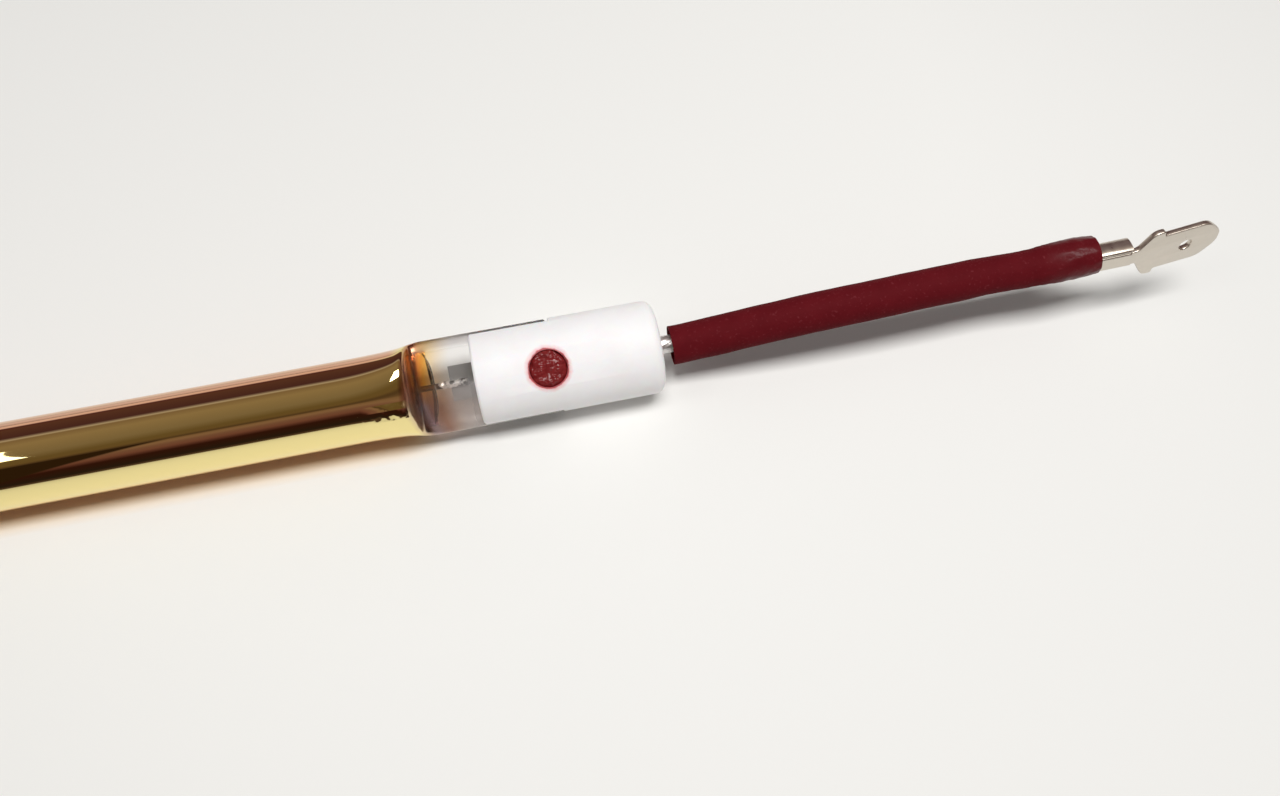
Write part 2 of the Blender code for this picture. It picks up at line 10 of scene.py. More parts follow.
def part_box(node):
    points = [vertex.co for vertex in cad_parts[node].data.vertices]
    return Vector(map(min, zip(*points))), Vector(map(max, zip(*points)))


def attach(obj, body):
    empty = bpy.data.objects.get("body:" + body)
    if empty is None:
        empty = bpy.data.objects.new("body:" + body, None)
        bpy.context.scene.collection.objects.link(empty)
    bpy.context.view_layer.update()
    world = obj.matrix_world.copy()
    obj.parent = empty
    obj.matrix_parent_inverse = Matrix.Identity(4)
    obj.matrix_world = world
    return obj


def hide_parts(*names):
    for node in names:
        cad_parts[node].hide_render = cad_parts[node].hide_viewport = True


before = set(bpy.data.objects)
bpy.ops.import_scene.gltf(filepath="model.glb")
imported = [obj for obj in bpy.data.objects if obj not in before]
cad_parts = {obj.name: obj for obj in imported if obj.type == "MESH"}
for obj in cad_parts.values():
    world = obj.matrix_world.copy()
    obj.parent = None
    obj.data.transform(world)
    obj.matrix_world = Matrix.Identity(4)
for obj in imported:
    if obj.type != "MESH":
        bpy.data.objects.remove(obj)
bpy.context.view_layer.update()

MM = 0.001

# Places taken from the frame
cap_low, cap_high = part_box("ceramic_cap_right")
RIM_X = cap_low[0]
CAP_END_X = cap_high[0]
CAP_LENGTH = CAP_END_X - RIM_X
AXIS_HEIGHT = (cap_low[2] + cap_high[2]) / 2
CAP_RADIUS = (cap_high[2] - cap_low[2]) / 2
LAMP_ROLL = math.radians(33.75)
SIDES = {"right": 1, "left": -1}

# Camera, as the photograph was taken
IMAGE_WIDTH = 1280
FOCAL_PIXELS = 1018.2
SENSOR_WIDTH = 36.0
CAMERA_PLACE = Vector((RIM_X + 7.74 * MM, -67.95 * MM, 121.21 * MM))
CAMERA_YAW = math.radians(-11.52)
CAMERA_TILT = math.radians(61.67)
CAMERA_ROLL = math.radians(-0.56)

# Ceiling lamps: place from the cap's rim, width, depth and power
LAMPS = [
    ("long_lamp", (0.155, -0.08, 0.7), 0.5, 0.2, 4.5),
    ("side_lamp", (-0.565, -0.08, 0.7), 0.33, 0.3, 0.95),
]
LAMP_COLOUR = (1.0, 0.993, 0.987)

# Floor: painted light in its colour, a pool greying with distance from a place beside the lamp, and the
# coat's warm light under the tube
FLOOR_SIZE = 6.0
PAINTED_POOL_MIDDLE = (RIM_X, 0.05)
PAINTED_FALLOFF_SPAN = (0.08, 0.18)
FLOOR_IN_PAINTED_POOL = (0.865, 0.86, 0.834)
FLOOR_PAINTED_DIM = (0.768, 0.763, 0.741)
PAINTED_GLOW_SIDE = (6.8 * MM, 4.4 * MM)
PAINTED_GLOW_ALONG = (RIM_X - 4.0 * MM, RIM_X - 12.0 * MM)
PAINTED_GLOW_TINT = (0.97, 0.78, 0.54)

# Room that the coat mirrors: colours by lean, in degrees from straight up towards the camera's side
ROOM_BANDS = [
    (-90.0, (0.86, 0.82, 0.76)),
    (-82.5, (0.86, 0.82, 0.76)),
    (-79.0, (0.1, 0.04, 0.036)),
    (-43.0, (0.065, 0.024, 0.03)),
    (-38.5, (0.22, 0.16, 0.18)),
    (-36.0, (0.4, 0.33, 0.34)),
    (-32.0, (0.2, 0.13, 0.09)),
    (-18.0, (0.26, 0.185, 0.125)),
    (10.0, (0.2, 0.145, 0.1)),
    (24.0, (0.13, 0.085, 0.04)),
    (32.0, (0.13, 0.08, 0.04)),
    (42.0, (0.22, 0.125, 0.1)),
    (48.0, (0.17, 0.082, 0.075)),
    (54.5, (0.155, 0.062, 0.06)),
    (60.0, (0.085, 0.03, 0.03)),
    (65.0, (0.03, 0.008, 0.006)),
    (84.0, (0.02, 0.012, 0.01)),
    (90.0, (0.1, 0.06, 0.05)),
]
BACKDROP_COLOUR = (0.86, 0.855, 0.83)
FILL_COLOUR = (0.18, 0.178, 0.176)

# A dark thing in the room, in radians: its edge leans further from a place along the tube
DARK_COLOUR = (0.025, 0.012, 0.006)
DARK_START = (math.radians(31.0), math.radians(37.0))
DARK_EDGE_LEAN = math.radians(36.3)
DARK_EDGE_FROM = math.radians(19.4)
DARK_EDGE_SLOPE = 2.4
DARK_EDGE_CURVE = 18.3
DARK_EDGE_BLUR = math.radians(2.0)

# Quartz envelope: its section at distances from the cap's rim, as half width, half height, squareness
QUARTZ_SEGMENTS = 144
SKIN_SECTIONS = [
    (17.0, 5.50, 5.50, 2.0),
    (15.0, 5.51, 5.49, 2.04),
    (13.0, 5.55, 5.47, 2.15),
    (11.2, 5.61, 5.44, 2.35),
    (9.9, 5.69, 5.38, 2.6),
    (9.1, 5.77, 5.24, 2.85),
    (8.6, 5.84, 4.88, 3.1),
    (8.25, 5.89, 4.2, 3.4),
    (8.0, 5.93, 3.3, 3.8),
    (7.75, 5.96, 2.3, 4.4),
    (7.45, 6.0, 1.78, 5.0),
    (7.0, 6.05, 1.62, 5.2),
    (6.4, 6.10, 1.60, 5.2),
]
TUBE_LEAD_IN = 2.0
NEAR_SIDE_EASE = 0.35
FLARE_MIDDLE = 8.5
FLARE_SPAN = 1.2
CAVITY_SECTIONS = [
    (17.0, 4.30, 4.30, 2.0),
    (13.0, 4.35, 4.27, 2.15),
    (11.2, 4.41, 4.22, 2.35),
    (9.9, 4.49, 4.1, 2.6),
    (9.2, 4.57, 3.8, 2.85),
    (8.7, 4.65, 3.0, 3.2),
    (8.4, 4.71, 1.9, 3.5),
    (8.1, 4.77, 1.05, 3.7),
    (7.6, 4.81, 0.66, 4.0),
    (6.9, 4.88, 0.53, 4.3),
    (5.85, 4.90, 0.5, 4.6),
]
SECTION_STEPS = 5
PINCH_INSIDE_CAP = 10.1 * MM
PINCH_ROUNDING = 0.3 * MM
CAVITY_DOME_STEPS = 10
CAVITY_END_CURVE = 1.1 * MM

# Coat: how it fades from the seal to the tube, with its colours by the share of that way
COAT_FADE = (3.4 * MM, 9.7 * MM)
COAT_BOW = 40.0
COAT_METAL = [(0.0, 0.0), (0.48, 0.02), (0.59, 0.05), (0.7, 0.1), (0.785, 0.55), (0.85, 1.0)]
GOLD = (0.92, 0.78, 0.36)
WHITE = (1.0, 1.0, 1.0)
UPPER_FILM = [
    (0.0, WHITE), (0.13, (0.99, 0.955, 0.89)), (0.26, (0.99, 0.88, 0.73)), (0.39, (1.0, 0.82, 0.54)),
    (0.51, (1.0, 0.73, 0.34)), (0.62, (1.0, 0.62, 0.25)), (0.7, (0.98, 0.48, 0.21)),
    (0.77, (0.74, 0.3, 0.17)), (0.85, (0.52, 0.22, 0.13)), (0.94, (0.6, 0.36, 0.18)), (1.0, GOLD),
]
LOWER_FILM = [
    (0.0, (0.98, 0.93, 0.9)), (0.245, (0.84, 0.68, 0.58)), (0.37, (0.74, 0.52, 0.44)),
    (0.5, (0.8, 0.66, 0.62)), (0.61, (0.84, 0.76, 0.84)), (0.7, (0.74, 0.64, 0.68)),
    (0.77, (0.6, 0.45, 0.36)), (0.85, (0.6, 0.45, 0.32)), (1.0, GOLD),
]
FILM_BLUR = 0.22
QUARTZ_IOR = 1.458

# Places where the quartz's look changes, each from none to full: by distance from the rim, then across
SEAL_EDGE = (7.6 * MM, 6.4 * MM)
TUBE_EDGE = (8.5 * MM, 10.0 * MM)
HAZE_AND_SHADE_ALONG = (0.3 * MM, 4.0 * MM)
FROST_ALONG = (4.6 * MM, 0.2 * MM)
FILM_BLUR_START = (6.4 * MM, 7.2 * MM)
FILM_BLUR_END = (9.5 * MM, 8.8 * MM)
RIPPLE_START = (7.6 * MM, 8.8 * MM)
RIPPLE_END = (14.5 * MM, 11.5 * MM)
LOWER_HALF = (0.7 * MM, -0.5 * MM)
LOWER_FILM_SIDE = (0.6 * MM, -2.4 * MM)
LOW_EDGE = (-5.4 * MM, -3.6 * MM)
PRESSED_EDGE = (4.3 * MM, 5.1 * MM)
RIPPLE_UPPER_SIDE = (-0.7 * MM, -1.6 * MM)
RIPPLE_LOWER_SIDE = (-4.2 * MM, -2.9 * MM)

# Clear seal: haze on the lower half that is partly painted shade, a pressed edge darkened with painted
# shade, and a painted dark line at the cavity's end
HAZE_AND_SHADE_TINT = (0.84, 0.77, 0.74)
PRESSED_EDGE_SHADE = (0.72, 0.7, 0.7)
PRESSED_BLUR = 0.5
PAINTED_CAVITY_LINE = (0.5 * MM, 0.38 * MM)
CAVITY_LINE_PAINTED_SHADE = (0.07, 0.03, 0.015)

# Painted reflections: the coat is redder by angle from the window, on the far side with a dark line, in
# half turns, and on the underside, in radians
FAR_SIDE_AT = 0.306
FAR_LINE_AT = 0.397
FAR_SIDE_REFLECTION = (0.8, 0.51, 0.68)
FAR_LINE_REFLECTION = (0.4, 0.23, 0.26)
FAR_EDGE_REFLECTION = (0.78, 0.52, 0.58)
FAR_BACK_REFLECTION = (0.75, 0.45, 0.42)
UNDERSIDE_AT = -1.6
UNDERSIDE_REFLECTION = (0.85, 0.5, 0.45)

# Inner leads
INNER_LEAD_RADIUS = 0.4 * MM
INNER_LEAD_SPACING = 0.12 * MM
INNER_LEAD_SIDES = 24
INNER_LEAD_SWELL = 0.2
INNER_LEAD_LUMPS = 0.3
SEAL_START = 5.2 * MM
SEAL_CLOSING = 0.8 * MM

# Ceramic cap
CAP_SEGMENTS = 128
CAP_EDGE_RADIUS = 1.3 * MM
CAP_EDGE_STEPS = 10
CAP_RIM_CHAMFER = 0.25 * MM
CAP_END_WALL = 3.0 * MM
CAP_BORE_RADIUS = 3.2 * MM
CAP_BORE_START = 8.0 * MM
CAP_SOFT_EDGE = 0.14 * MM
SLOT_WIDTH = 3.9 * MM
SLOT_DEPTH = 10.4 * MM
SLOT_CORE_RADIUS = 1.65 * MM
LEAD_HOLE_RADIUS = 1.375 * MM
WINDOW_FROM_RIM = 9.3 * MM
WINDOW_RADIUS = 2.4 * MM
WINDOW_CHAMFER = 0.25 * MM
WINDOW_SIDES = 64
STAIN_EDGE = (3.1 * MM, 2.45 * MM)
STAIN_TINT = (0.92, 0.5, 0.51)
SMEAR_EDGE = (2.62 * MM, 2.5 * MM)
SMEAR_TINT = (0.5, 0.09, 0.1)

# Sealant in the window
SEALANT_RADIUS = 2.36 * MM
SEALANT_CROWN = 5.7 * MM
SEALANT_FOOT = 1.9 * MM
SEALANT_SAG = 0.32 * MM
SEALANT_LUMPS = 0.32 * MM
SEALANT_GRIT = 0.16 * MM
SEALANT_RINGS = 26
SEALANT_SPOKES = 96

# Lead: the route's points, out from the cap's end face, sideways, and height above the table
LEAD_ROUTE = [
    (0.0, 0.0, 6.17),
    (2.5, 0.0, 6.17),
    (8.0, -0.08, 7.0),
    (14.0, -0.2, 8.2),
    (20.0, -0.33, 9.0),
    (26.0, -0.45, 9.55),
    (34.0, -0.6, 9.95),
    (42.0, -0.88, 10.05),
    (47.0, -1.3, 10.02),
    (50.2, -1.6, 10.17),
    (53.7, -1.75, 10.58),
]
STRAIGHT_END = 26.0 * MM
PATH_STEPS = 16
LEAD_INSIDE = 8.2 * MM
CONDUCTOR_RADIUS = 1.2 * MM
CRIMPED_RADIUS = 0.8 * MM
STRAND_COUNT = 12
STRAND_LAY = 17.0 * MM
STRAND_DEPTH = 0.13 * MM
CONDUCTOR_SPACING = 0.4 * MM
CONDUCTOR_INSET = 0.6 * MM
CONDUCTOR_SHORT = 0.3 * MM
SQUEEZE_START = 1.8 * MM
SQUEEZE_LENGTH = 1.2 * MM
SLEEVE_WALL = 0.36 * MM
SLEEVE_SEGMENTS = 96
SLEEVE_SPACING = 0.35 * MM
SLEEVE_STEPS = 6
SLEEVE_UNEVENNESS = 0.05 * MM
SLEEVE_WRINKLES = 0.09 * MM
WRINKLES_FROM = 44.0 * MM
WRINKLES_FULL = 52.0 * MM
CRIMP_SHEEN = (51.0 * MM, 55.0 * MM)

# Sleeving, by distance from the cap: its outer diameter, and how far it lies beside the conductor's line
SLEEVE_SECTIONS = [
    (1.75, 5.15, -0.3),
    (8.0, 5.2, -0.47),
    (14.0, 5.2, -0.68),
    (20.0, 5.2, -0.74),
    (26.0, 5.2, -0.74),
    (31.0, 5.2, -0.66),
    (36.0, 5.12, -0.47),
    (41.0, 5.16, -0.2),
    (46.0, 4.98, 0.26),
    (50.5, 4.96, 0.56),
    (53.5, 5.36, 0.6),
    (56.0, 5.48, 0.64),
    (58.0, 5.24, 0.64),
    (59.3, 4.9, 0.62),
]

# Tab terminal
BARREL_END = 63.6 * MM
BARREL_LENGTH = 9.5 * MM
BARREL_RADIUS = 1.65 * MM
BARREL_FLAT = 1.3 * MM
BARREL_BORE_RADIUS = 0.95 * MM
BARREL_SIDES = 112
BARREL_SQUARENESS = 2.8
BARREL_EDGE = 0.06 * MM
GROOVE_DEPTH = 0.25 * MM
GROOVE_AT = math.radians(52.0)
GROOVE_SPREAD = math.radians(8.0)
TAB_HALF_THICKNESS = 0.4 * MM
TAB_HALF_WIDTH = 3.15 * MM
TAB_LENGTH = 8.3 * MM
TAB_TIP_CHAMFER = 2.1 * MM
TAB_CORNER_RADIUS = 0.9 * MM
TAB_HOLE_RADIUS = 0.85 * MM
TAB_HOLE_FROM_SHOULDER = 3.7 * MM
TAB_HOLE_SIDES = 48
SHOULDER_HALF_WIDTH = 3.95 * MM
SHOULDER_LENGTH = 1.4 * MM
SHOULDER_INNER_RADIUS = 0.7 * MM
SHOULDER_OUTER_RADIUS = 0.45 * MM
BLADE_ROOT_RADIUS = 0.3 * MM
NECK_HALF_WIDTH = 1.2 * MM
NECK_LENGTH = 2.35 * MM
NECK_STRAIGHT = 0.6 * MM
NECK_ROOT = 0.3 * MM
NECK_RADIUS = 0.8 * MM
BLADE_DROP = 0.37 * MM
TAB_ROLL = math.radians(83.0)
TAB_BEND = math.radians(5.5)
TAB_EDGE = 0.16 * MM


# Scene


def make_camera():
    data = bpy.data.cameras.new("camera")
    data.sensor_width = SENSOR_WIDTH
    data.lens = FOCAL_PIXELS / IMAGE_WIDTH * SENSOR_WIDTH
    data.clip_start = 0.005
    camera = bpy.data.objects.new("camera", data)
    bpy.context.scene.collection.objects.link(camera)
    camera.location = CAMERA_PLACE
    turn = Euler((math.pi / 2 - CAMERA_TILT, 0.0, CAMERA_YAW), "XYZ").to_matrix()
    roll = Euler((0.0, 0.0, CAMERA_ROLL), "XYZ").to_matrix()
    camera.rotation_euler = (turn @ roll).to_euler()
    bpy.context.scene.camera = camera


def make_floor():
    bpy.ops.mesh.primitive_plane_add(size=FLOOR_SIZE, location=(0.0, 0.0, 0.0))
    floor = bpy.context.active_object
    floor.name = "floor"
    floor.data.materials.append(floor_material())


def make_lights():
    for name, place, width, depth, power in LAMPS:
        data = bpy.data.lights.new(name, "AREA")
        data.shape = "RECTANGLE"
        data.size = width
        data.size_y = depth
        data.energy = power
        data.color = LAMP_COLOUR
        light = bpy.data.objects.new(name, data)
        bpy.context.scene.collection.objects.link(light)
        light.location = (RIM_X + place[0], place[1], place[2])


# Node helpers


def new_material(name):
    material = bpy.data.materials.new(name)
    material.use_nodes = True
    tree = material.node_tree
    return material, tree, tree.nodes["Principled BSDF"]


def set_inputs(shader, **values):
    for name, value in values.items():
        shader.inputs[name.replace("_", " ")].default_value = value


def add_node(tree, kind, **values):
    node = tree.nodes.new(kind)
    for name, value in values.items():
        setattr(node, name, value)
    return node


def linked(tree, node, socket, source):
    """Sets an input to a number, or links it to another node's output."""
    if hasattr(source, "is_output"):
        tree.links.new(source, node.inputs[socket])
    else:
        node.inputs[socket].default_value = source


def math_node(tree, operation, a, b=0.0):
    node = add_node(tree, "ShaderNodeMath", operation=operation)
    linked(tree, node, 0, a)
    linked(tree, node, 1, b)
    return node.outputs[0]


def product(tree, first, *others):
    for other in others:
        first = math_node(tree, "MULTIPLY", first, other)
    return first


def length_node(tree, a, b):
    """The length of a flat vector."""
    return math_node(tree, "SQRT", math_node(tree, "ADD", product(tree, a, a), product(tree, b, b)))


def object_place(tree):
    return add_node(tree, "ShaderNodeTexCoord").outputs["Object"]


def axes_of(tree, vector):
    split = add_node(tree, "ShaderNodeSeparateXYZ")
    tree.links.new(vector, split.inputs[0])
    return split.outputs


def ramp_node(tree, factor, stops):
    node = add_node(tree, "ShaderNodeValToRGB")
    elements = node.color_ramp.elements
    while len(elements) < len(stops):
        elements.new(0.5)
    for element, (position, colour) in zip(elements, stops):
        element.position = position
        element.color = (*colour, 1.0)
    tree.links.new(factor, node.inputs[0])
    return node.outputs[0]


def noise_node(tree, place, scale, detail=3.0):
    node = add_node(tree, "ShaderNodeTexNoise")
    linked(tree, node, "Vector", place)
    set_inputs(node, Scale=scale, Detail=detail)
    return node.outputs["Fac"]


def map_node(tree, value, from_low, from_high, to_low, to_high):
    node = add_node(tree, "ShaderNodeMapRange", clamp=True)
    for socket, source in enumerate((value, from_low, from_high, to_low, to_high)):
        linked(tree, node, socket, source)
    return node.outputs[0]


def share(tree, value, start, end):
    """0 up to the start, and 1 from the end on."""
    return map_node(tree, value, start, end, 0.0, 1.0)


def mix_colours(tree, factor, first, second, blend="MIX"):
    node = add_node(tree, "ShaderNodeMix", data_type="RGBA", blend_type=blend)
    linked(tree, node, 0, factor)
    for socket, source in ((6, first), (7, second)):
        linked(tree, node, socket, source if hasattr(source, "is_output") else (*source, 1.0))
    return node.outputs[2]


def feed(tree, shader, **sources):
    """Links outputs to the shader's inputs."""
    for name, source in sources.items():
        tree.links.new(source, shader.inputs[name.replace("_", " ")])


def add_bump(tree, shader, height, distance, strength):
    node = add_node(tree, "ShaderNodeBump")
    linked(tree, node, "Height", height)
    set_inputs(node, Distance=distance, Strength=strength)
    tree.links.new(node.outputs[0], shader.inputs["Normal"])


# Materials


def floor_material():
    """Pale and plain, with painted light: greyer with distance from a place beside the lamp, and warm from
    the gold coat's light right under the tube.
    """
    material, tree, shader = new_material("pale_floor")
    axes = axes_of(tree, object_place(tree))
    along = math_node(tree, "SUBTRACT", axes["X"], PAINTED_POOL_MIDDLE[0])
    across = math_node(tree, "SUBTRACT", axes["Y"], PAINTED_POOL_MIDDLE[1])
    # Painted light falloff: the floor greys with distance from a place beside the lamp.
    painted_falloff = share(tree, length_node(tree, along, across), *PAINTED_FALLOFF_SPAN)
    tint = mix_colours(tree, painted_falloff, FLOOR_IN_PAINTED_POOL, FLOOR_PAINTED_DIM)
    # Painted warm light: the gold coat's reflected glow on the floor right beside and under the tube.
    beside = share(tree, math_node(tree, "ABSOLUTE", axes["Y"]), *PAINTED_GLOW_SIDE)
    inboard = share(tree, math_node(tree, "ABSOLUTE", axes["X"]), *PAINTED_GLOW_ALONG)
    tint = mix_colours(tree, product(tree, beside, inboard), tint, PAINTED_GLOW_TINT, "MULTIPLY")
    feed(tree, shader, Base_Color=tint)
    set_inputs(shader, Roughness=0.75)
    return material


def lamp_axes(tree, place):
    """Distance inboard of the nearer cap's rim, and the place across and out of the lamp's rolled frame."""
    axes = axes_of(tree, place)
    from_rim = math_node(tree, "SUBTRACT", RIM_X, math_node(tree, "ABSOLUTE", axes["X"]))
    height = math_node(tree, "SUBTRACT", axes["Z"], AXIS_HEIGHT)
    c, s = math.cos(LAMP_ROLL), math.sin(LAMP_ROLL)
    across = math_node(tree, "ADD", product(tree, axes["Y"], c), product(tree, height, s))
    outward = math_node(tree, "SUBTRACT", product(tree, height, c), product(tree, axes["Y"], s))
    return from_rim, across, outward


def wandering(tree, value, place, scale, amount):
    """The value, pushed to and fro by noise."""
    push = math_node(tree, "SUBTRACT", noise_node(tree, place, scale), 0.5)
    return math_node(tree, "ADD", value, product(tree, push, amount))


def film_tint(tree, place, across, fade):
    """Interference colours of the fading coat: orange above, lilac on the lower side."""
    lower = share(tree, wandering(tree, across, place, 300.0, 1.6 * MM), *LOWER_FILM_SIDE)
    return mix_colours(tree, lower, ramp_node(tree, fade, UPPER_FILM), ramp_node(tree, fade, LOWER_FILM))


def painted_tube_reflections(tree, tint, from_rim, across, outward):
    """Painted reflections: the coat is redder on the tube's far side, which has a painted dark line, and on
    its underside.
    """
    turn = math_node(tree, "ARCTAN2", across, outward)
    far_side_reflection = ramp_node(tree, share(tree, turn, 0.0, math.pi), [
        (0.0, WHITE), (FAR_SIDE_AT - 0.012, WHITE), (FAR_SIDE_AT + 0.012, FAR_SIDE_REFLECTION),
        (FAR_LINE_AT - 0.006, FAR_SIDE_REFLECTION), (FAR_LINE_AT, FAR_LINE_REFLECTION),
        (FAR_LINE_AT + 0.006, FAR_EDGE_REFLECTION), (1.0, FAR_BACK_REFLECTION)])
    on_tube = share(tree, from_rim, *TUBE_EDGE)
    tint = mix_colours(tree, on_tube, tint, far_side_reflection, "MULTIPLY")
    underside = share(tree, turn, UNDERSIDE_AT + 0.12, UNDERSIDE_AT - 0.12)
    return mix_colours(tree, product(tree, underside, on_tube), tint, UNDERSIDE_REFLECTION, "MULTIPLY")


def flare_ripple(tree, place, from_rim, across):
    """Slight ripples that the flare's making left in the flank of the tube."""
    along = product(tree, share(tree, from_rim, *RIPPLE_END), share(tree, from_rim, *RIPPLE_START))
    flank = product(tree, share(tree, across, *RIPPLE_UPPER_SIDE), share(tree, across, *RIPPLE_LOWER_SIDE))
    return product(tree, noise_node(tree, place, 480.0, 1.5), along, flank)


def quartz_material():
    """Gold mirror coat on the tube, fading through film colours to hazy clear quartz at the seals, with
    painted reflections on the tube and painted shade in the seal.
    """
    material, tree, shader = new_material("coated_quartz")
    place = object_place(tree)
    from_rim, across, outward = lamp_axes(tree, place)
    bowed = math_node(tree, "ADD", from_rim, product(tree, across, across, COAT_BOW))
    distance = wandering(tree, bowed, place, 260.0, 1.4 * MM)
    fade = share(tree, distance, *COAT_FADE)
    coat = ramp_node(tree, fade, [(stop, (value, value, value)) for stop, value in COAT_METAL])
    seal = share(tree, from_rim, *SEAL_EDGE)
    lower_half = share(tree, wandering(tree, across, place, 420.0, 1.4 * MM), *LOWER_HALF)
    low_edge = map_node(tree, across, *LOW_EDGE, 0.25, 1.0)
    # The lower half's haze is partly real haze and partly painted shade: the floor's shadow seen through
    # the seal.
    haze_and_shade_along = wandering(tree, from_rim, place, 350.0, 2.5 * MM)
    haze_and_shade_along = map_node(tree, haze_and_shade_along, *HAZE_AND_SHADE_ALONG, 0.05, 1.0)
    haze_and_shade = product(tree, haze_and_shade_along, lower_half, low_edge, seal)
    pressed = product(tree, share(tree, across, *PRESSED_EDGE), seal)
    tint = film_tint(tree, place, across, fade)
    tint = mix_colours(tree, haze_and_shade, tint, HAZE_AND_SHADE_TINT, "MULTIPLY")
    tint = painted_tube_reflections(tree, tint, from_rim, across, outward)
    # Painted shade: this tint darkens the seal's far pressed edge, where the lamp makes a bright strip.
    tint = mix_colours(tree, pressed, tint, PRESSED_EDGE_SHADE, "MULTIPLY")
    film_blur = product(tree, map_node(tree, distance, *FILM_BLUR_START, 0.0, FILM_BLUR),
                        share(tree, distance, *FILM_BLUR_END))
    blur = math_node(tree, "MAXIMUM", product(tree, pressed, PRESSED_BLUR), film_blur)
    frost = wandering(tree, from_rim, place, 600.0, 2.0 * MM)
    frost = product(tree, map_node(tree, frost, *FROST_ALONG, 0.06, 0.3), lower_half, seal)
    feed(tree, shader, Base_Color=tint, Metallic=coat, Roughness=math_node(tree, "ADD", blur, 0.02),
         Transmission_Weight=math_node(tree, "SUBTRACT", 1.0, frost))
    set_inputs(shader, IOR=QUARTZ_IOR)
    add_bump(tree, shader, flare_ripple(tree, place, from_rim, across), 0.0005, 0.75)
    return material


def cavity_material():
    """Clear, but for a painted brown line that stands for the dark edge which total internal reflection
    draws at the cavity's rounded end.
    """
    material, tree, shader = new_material("clear_quartz")
    from_rim, across = lamp_axes(tree, object_place(tree))[:2]
    end_at, half_width, half_height = CAVITY_SECTIONS[-1][:3]
    side = math_node(tree, "DIVIDE", math_node(tree, "ABSOLUTE", across), half_width * MM)
    curved = product(tree, math_node(tree, "POWER", side, 4.0), CAVITY_END_CURVE)
    from_end = math_node(tree, "SUBTRACT", from_rim, curved)
    from_end = math_node(tree, "SUBTRACT", from_end, (end_at - half_height) * MM)
    # Painted reflection: an opaque dark line in place of the total internal reflection at the cavity's end.
    line = share(tree, from_end, *PAINTED_CAVITY_LINE)
    feed(tree, shader, Base_Color=mix_colours(tree, line, WHITE, CAVITY_LINE_PAINTED_SHADE),
         Transmission_Weight=math_node(tree, "SUBTRACT", 1.0, line))
    set_inputs(shader, Roughness=0.0, IOR=QUARTZ_IOR)
    return material


def inner_lead_material():
    """Brown oxidised wire in the cavity, mottled near-white with painted glints where the quartz closes
    round it.
    """
    material, tree, shader = new_material("sealed_wire")
    place = object_place(tree)
    from_rim = lamp_axes(tree, place)[0]
    mottle = share(tree, noise_node(tree, place, 1500.0), 0.42, 0.58)
    # Painted glints: a near-white mottle that stands for the highlights along the sealed wire.
    painted_glints = mix_colours(tree, mottle, (0.1, 0.09, 0.08), (0.95, 0.93, 0.9))
    sealed = share(tree, from_rim, SEAL_START + 0.3 * MM, SEAL_START - 0.3 * MM)
    feed(tree, shader, Base_Color=mix_colours(tree, sealed, (0.1, 0.05, 0.03), painted_glints))
    set_inputs(shader, Roughness=0.35, Metallic=0.6)
    return material


def ceramic_material():
    """White ceramic, with the sealant's red stain round its window."""
    material, tree, shader = new_material("white_ceramic")
    place = object_place(tree)
    from_rim, across, outward = lamp_axes(tree, place)
    blotches = share(tree, noise_node(tree, place, 260.0, 4.0), 0.35, 0.7)
    tint = mix_colours(tree, blotches, (0.95, 0.935, 0.94), (0.92, 0.895, 0.9))
    from_window = length_node(tree, math_node(tree, "ADD", from_rim, WINDOW_FROM_RIM), across)
    from_window = wandering(tree, from_window, place, 1100.0, 0.5 * MM)
    front = math_node(tree, "GREATER_THAN", outward, 0.0)
    stain = product(tree, share(tree, from_window, *STAIN_EDGE), front)
    tint = mix_colours(tree, stain, tint, STAIN_TINT, "MULTIPLY")
    smear = product(tree, share(tree, from_window, *SMEAR_EDGE), front)
    tint = mix_colours(tree, smear, tint, SMEAR_TINT)
    feed(tree, shader, Base_Color=tint)
    set_inputs(shader, Roughness=0.62, Subsurface_Weight=0.2, Subsurface_Scale=0.0008)
    add_bump(tree, shader, noise_node(tree, place, 2600.0, 4.0), 0.00003, 0.5)
    return material


def sealant_material():
    """Dark red clotted sealant, glossy where it set smooth."""
    material, tree, shader = new_material("red_sealant")
    place = object_place(tree)
    clots = noise_node(tree, place, 1500.0)
    feed(tree, shader, Base_Color=mix_colours(tree, clots, (0.12, 0.007, 0.008), (0.26, 0.025, 0.026)))
    set_inputs(shader, Roughness=0.22, Specular_IOR_Level=0.3)
    add_bump(tree, shader, noise_node(tree, place, 2500.0), 0.00006, 0.4)
    return material


def metal_material(name, colour, roughness, grain=1800.0, relief=0.00001):
    """Metal with a fine speckle in its colour, gloss and relief."""
    material, tree, shader = new_material(name)
    speckle = noise_node(tree, object_place(tree), grain, 4.0)
    darker = tuple(channel * 0.82 for channel in colour)
    feed(tree, shader, Base_Color=mix_colours(tree, speckle, darker, colour),
         Roughness=map_node(tree, speckle, 0.2, 0.8, roughness * 0.8, roughness * 1.25))
    set_inputs(shader, Metallic=1.0)
    add_bump(tree, shader, speckle, relief, 0.6)
    return material


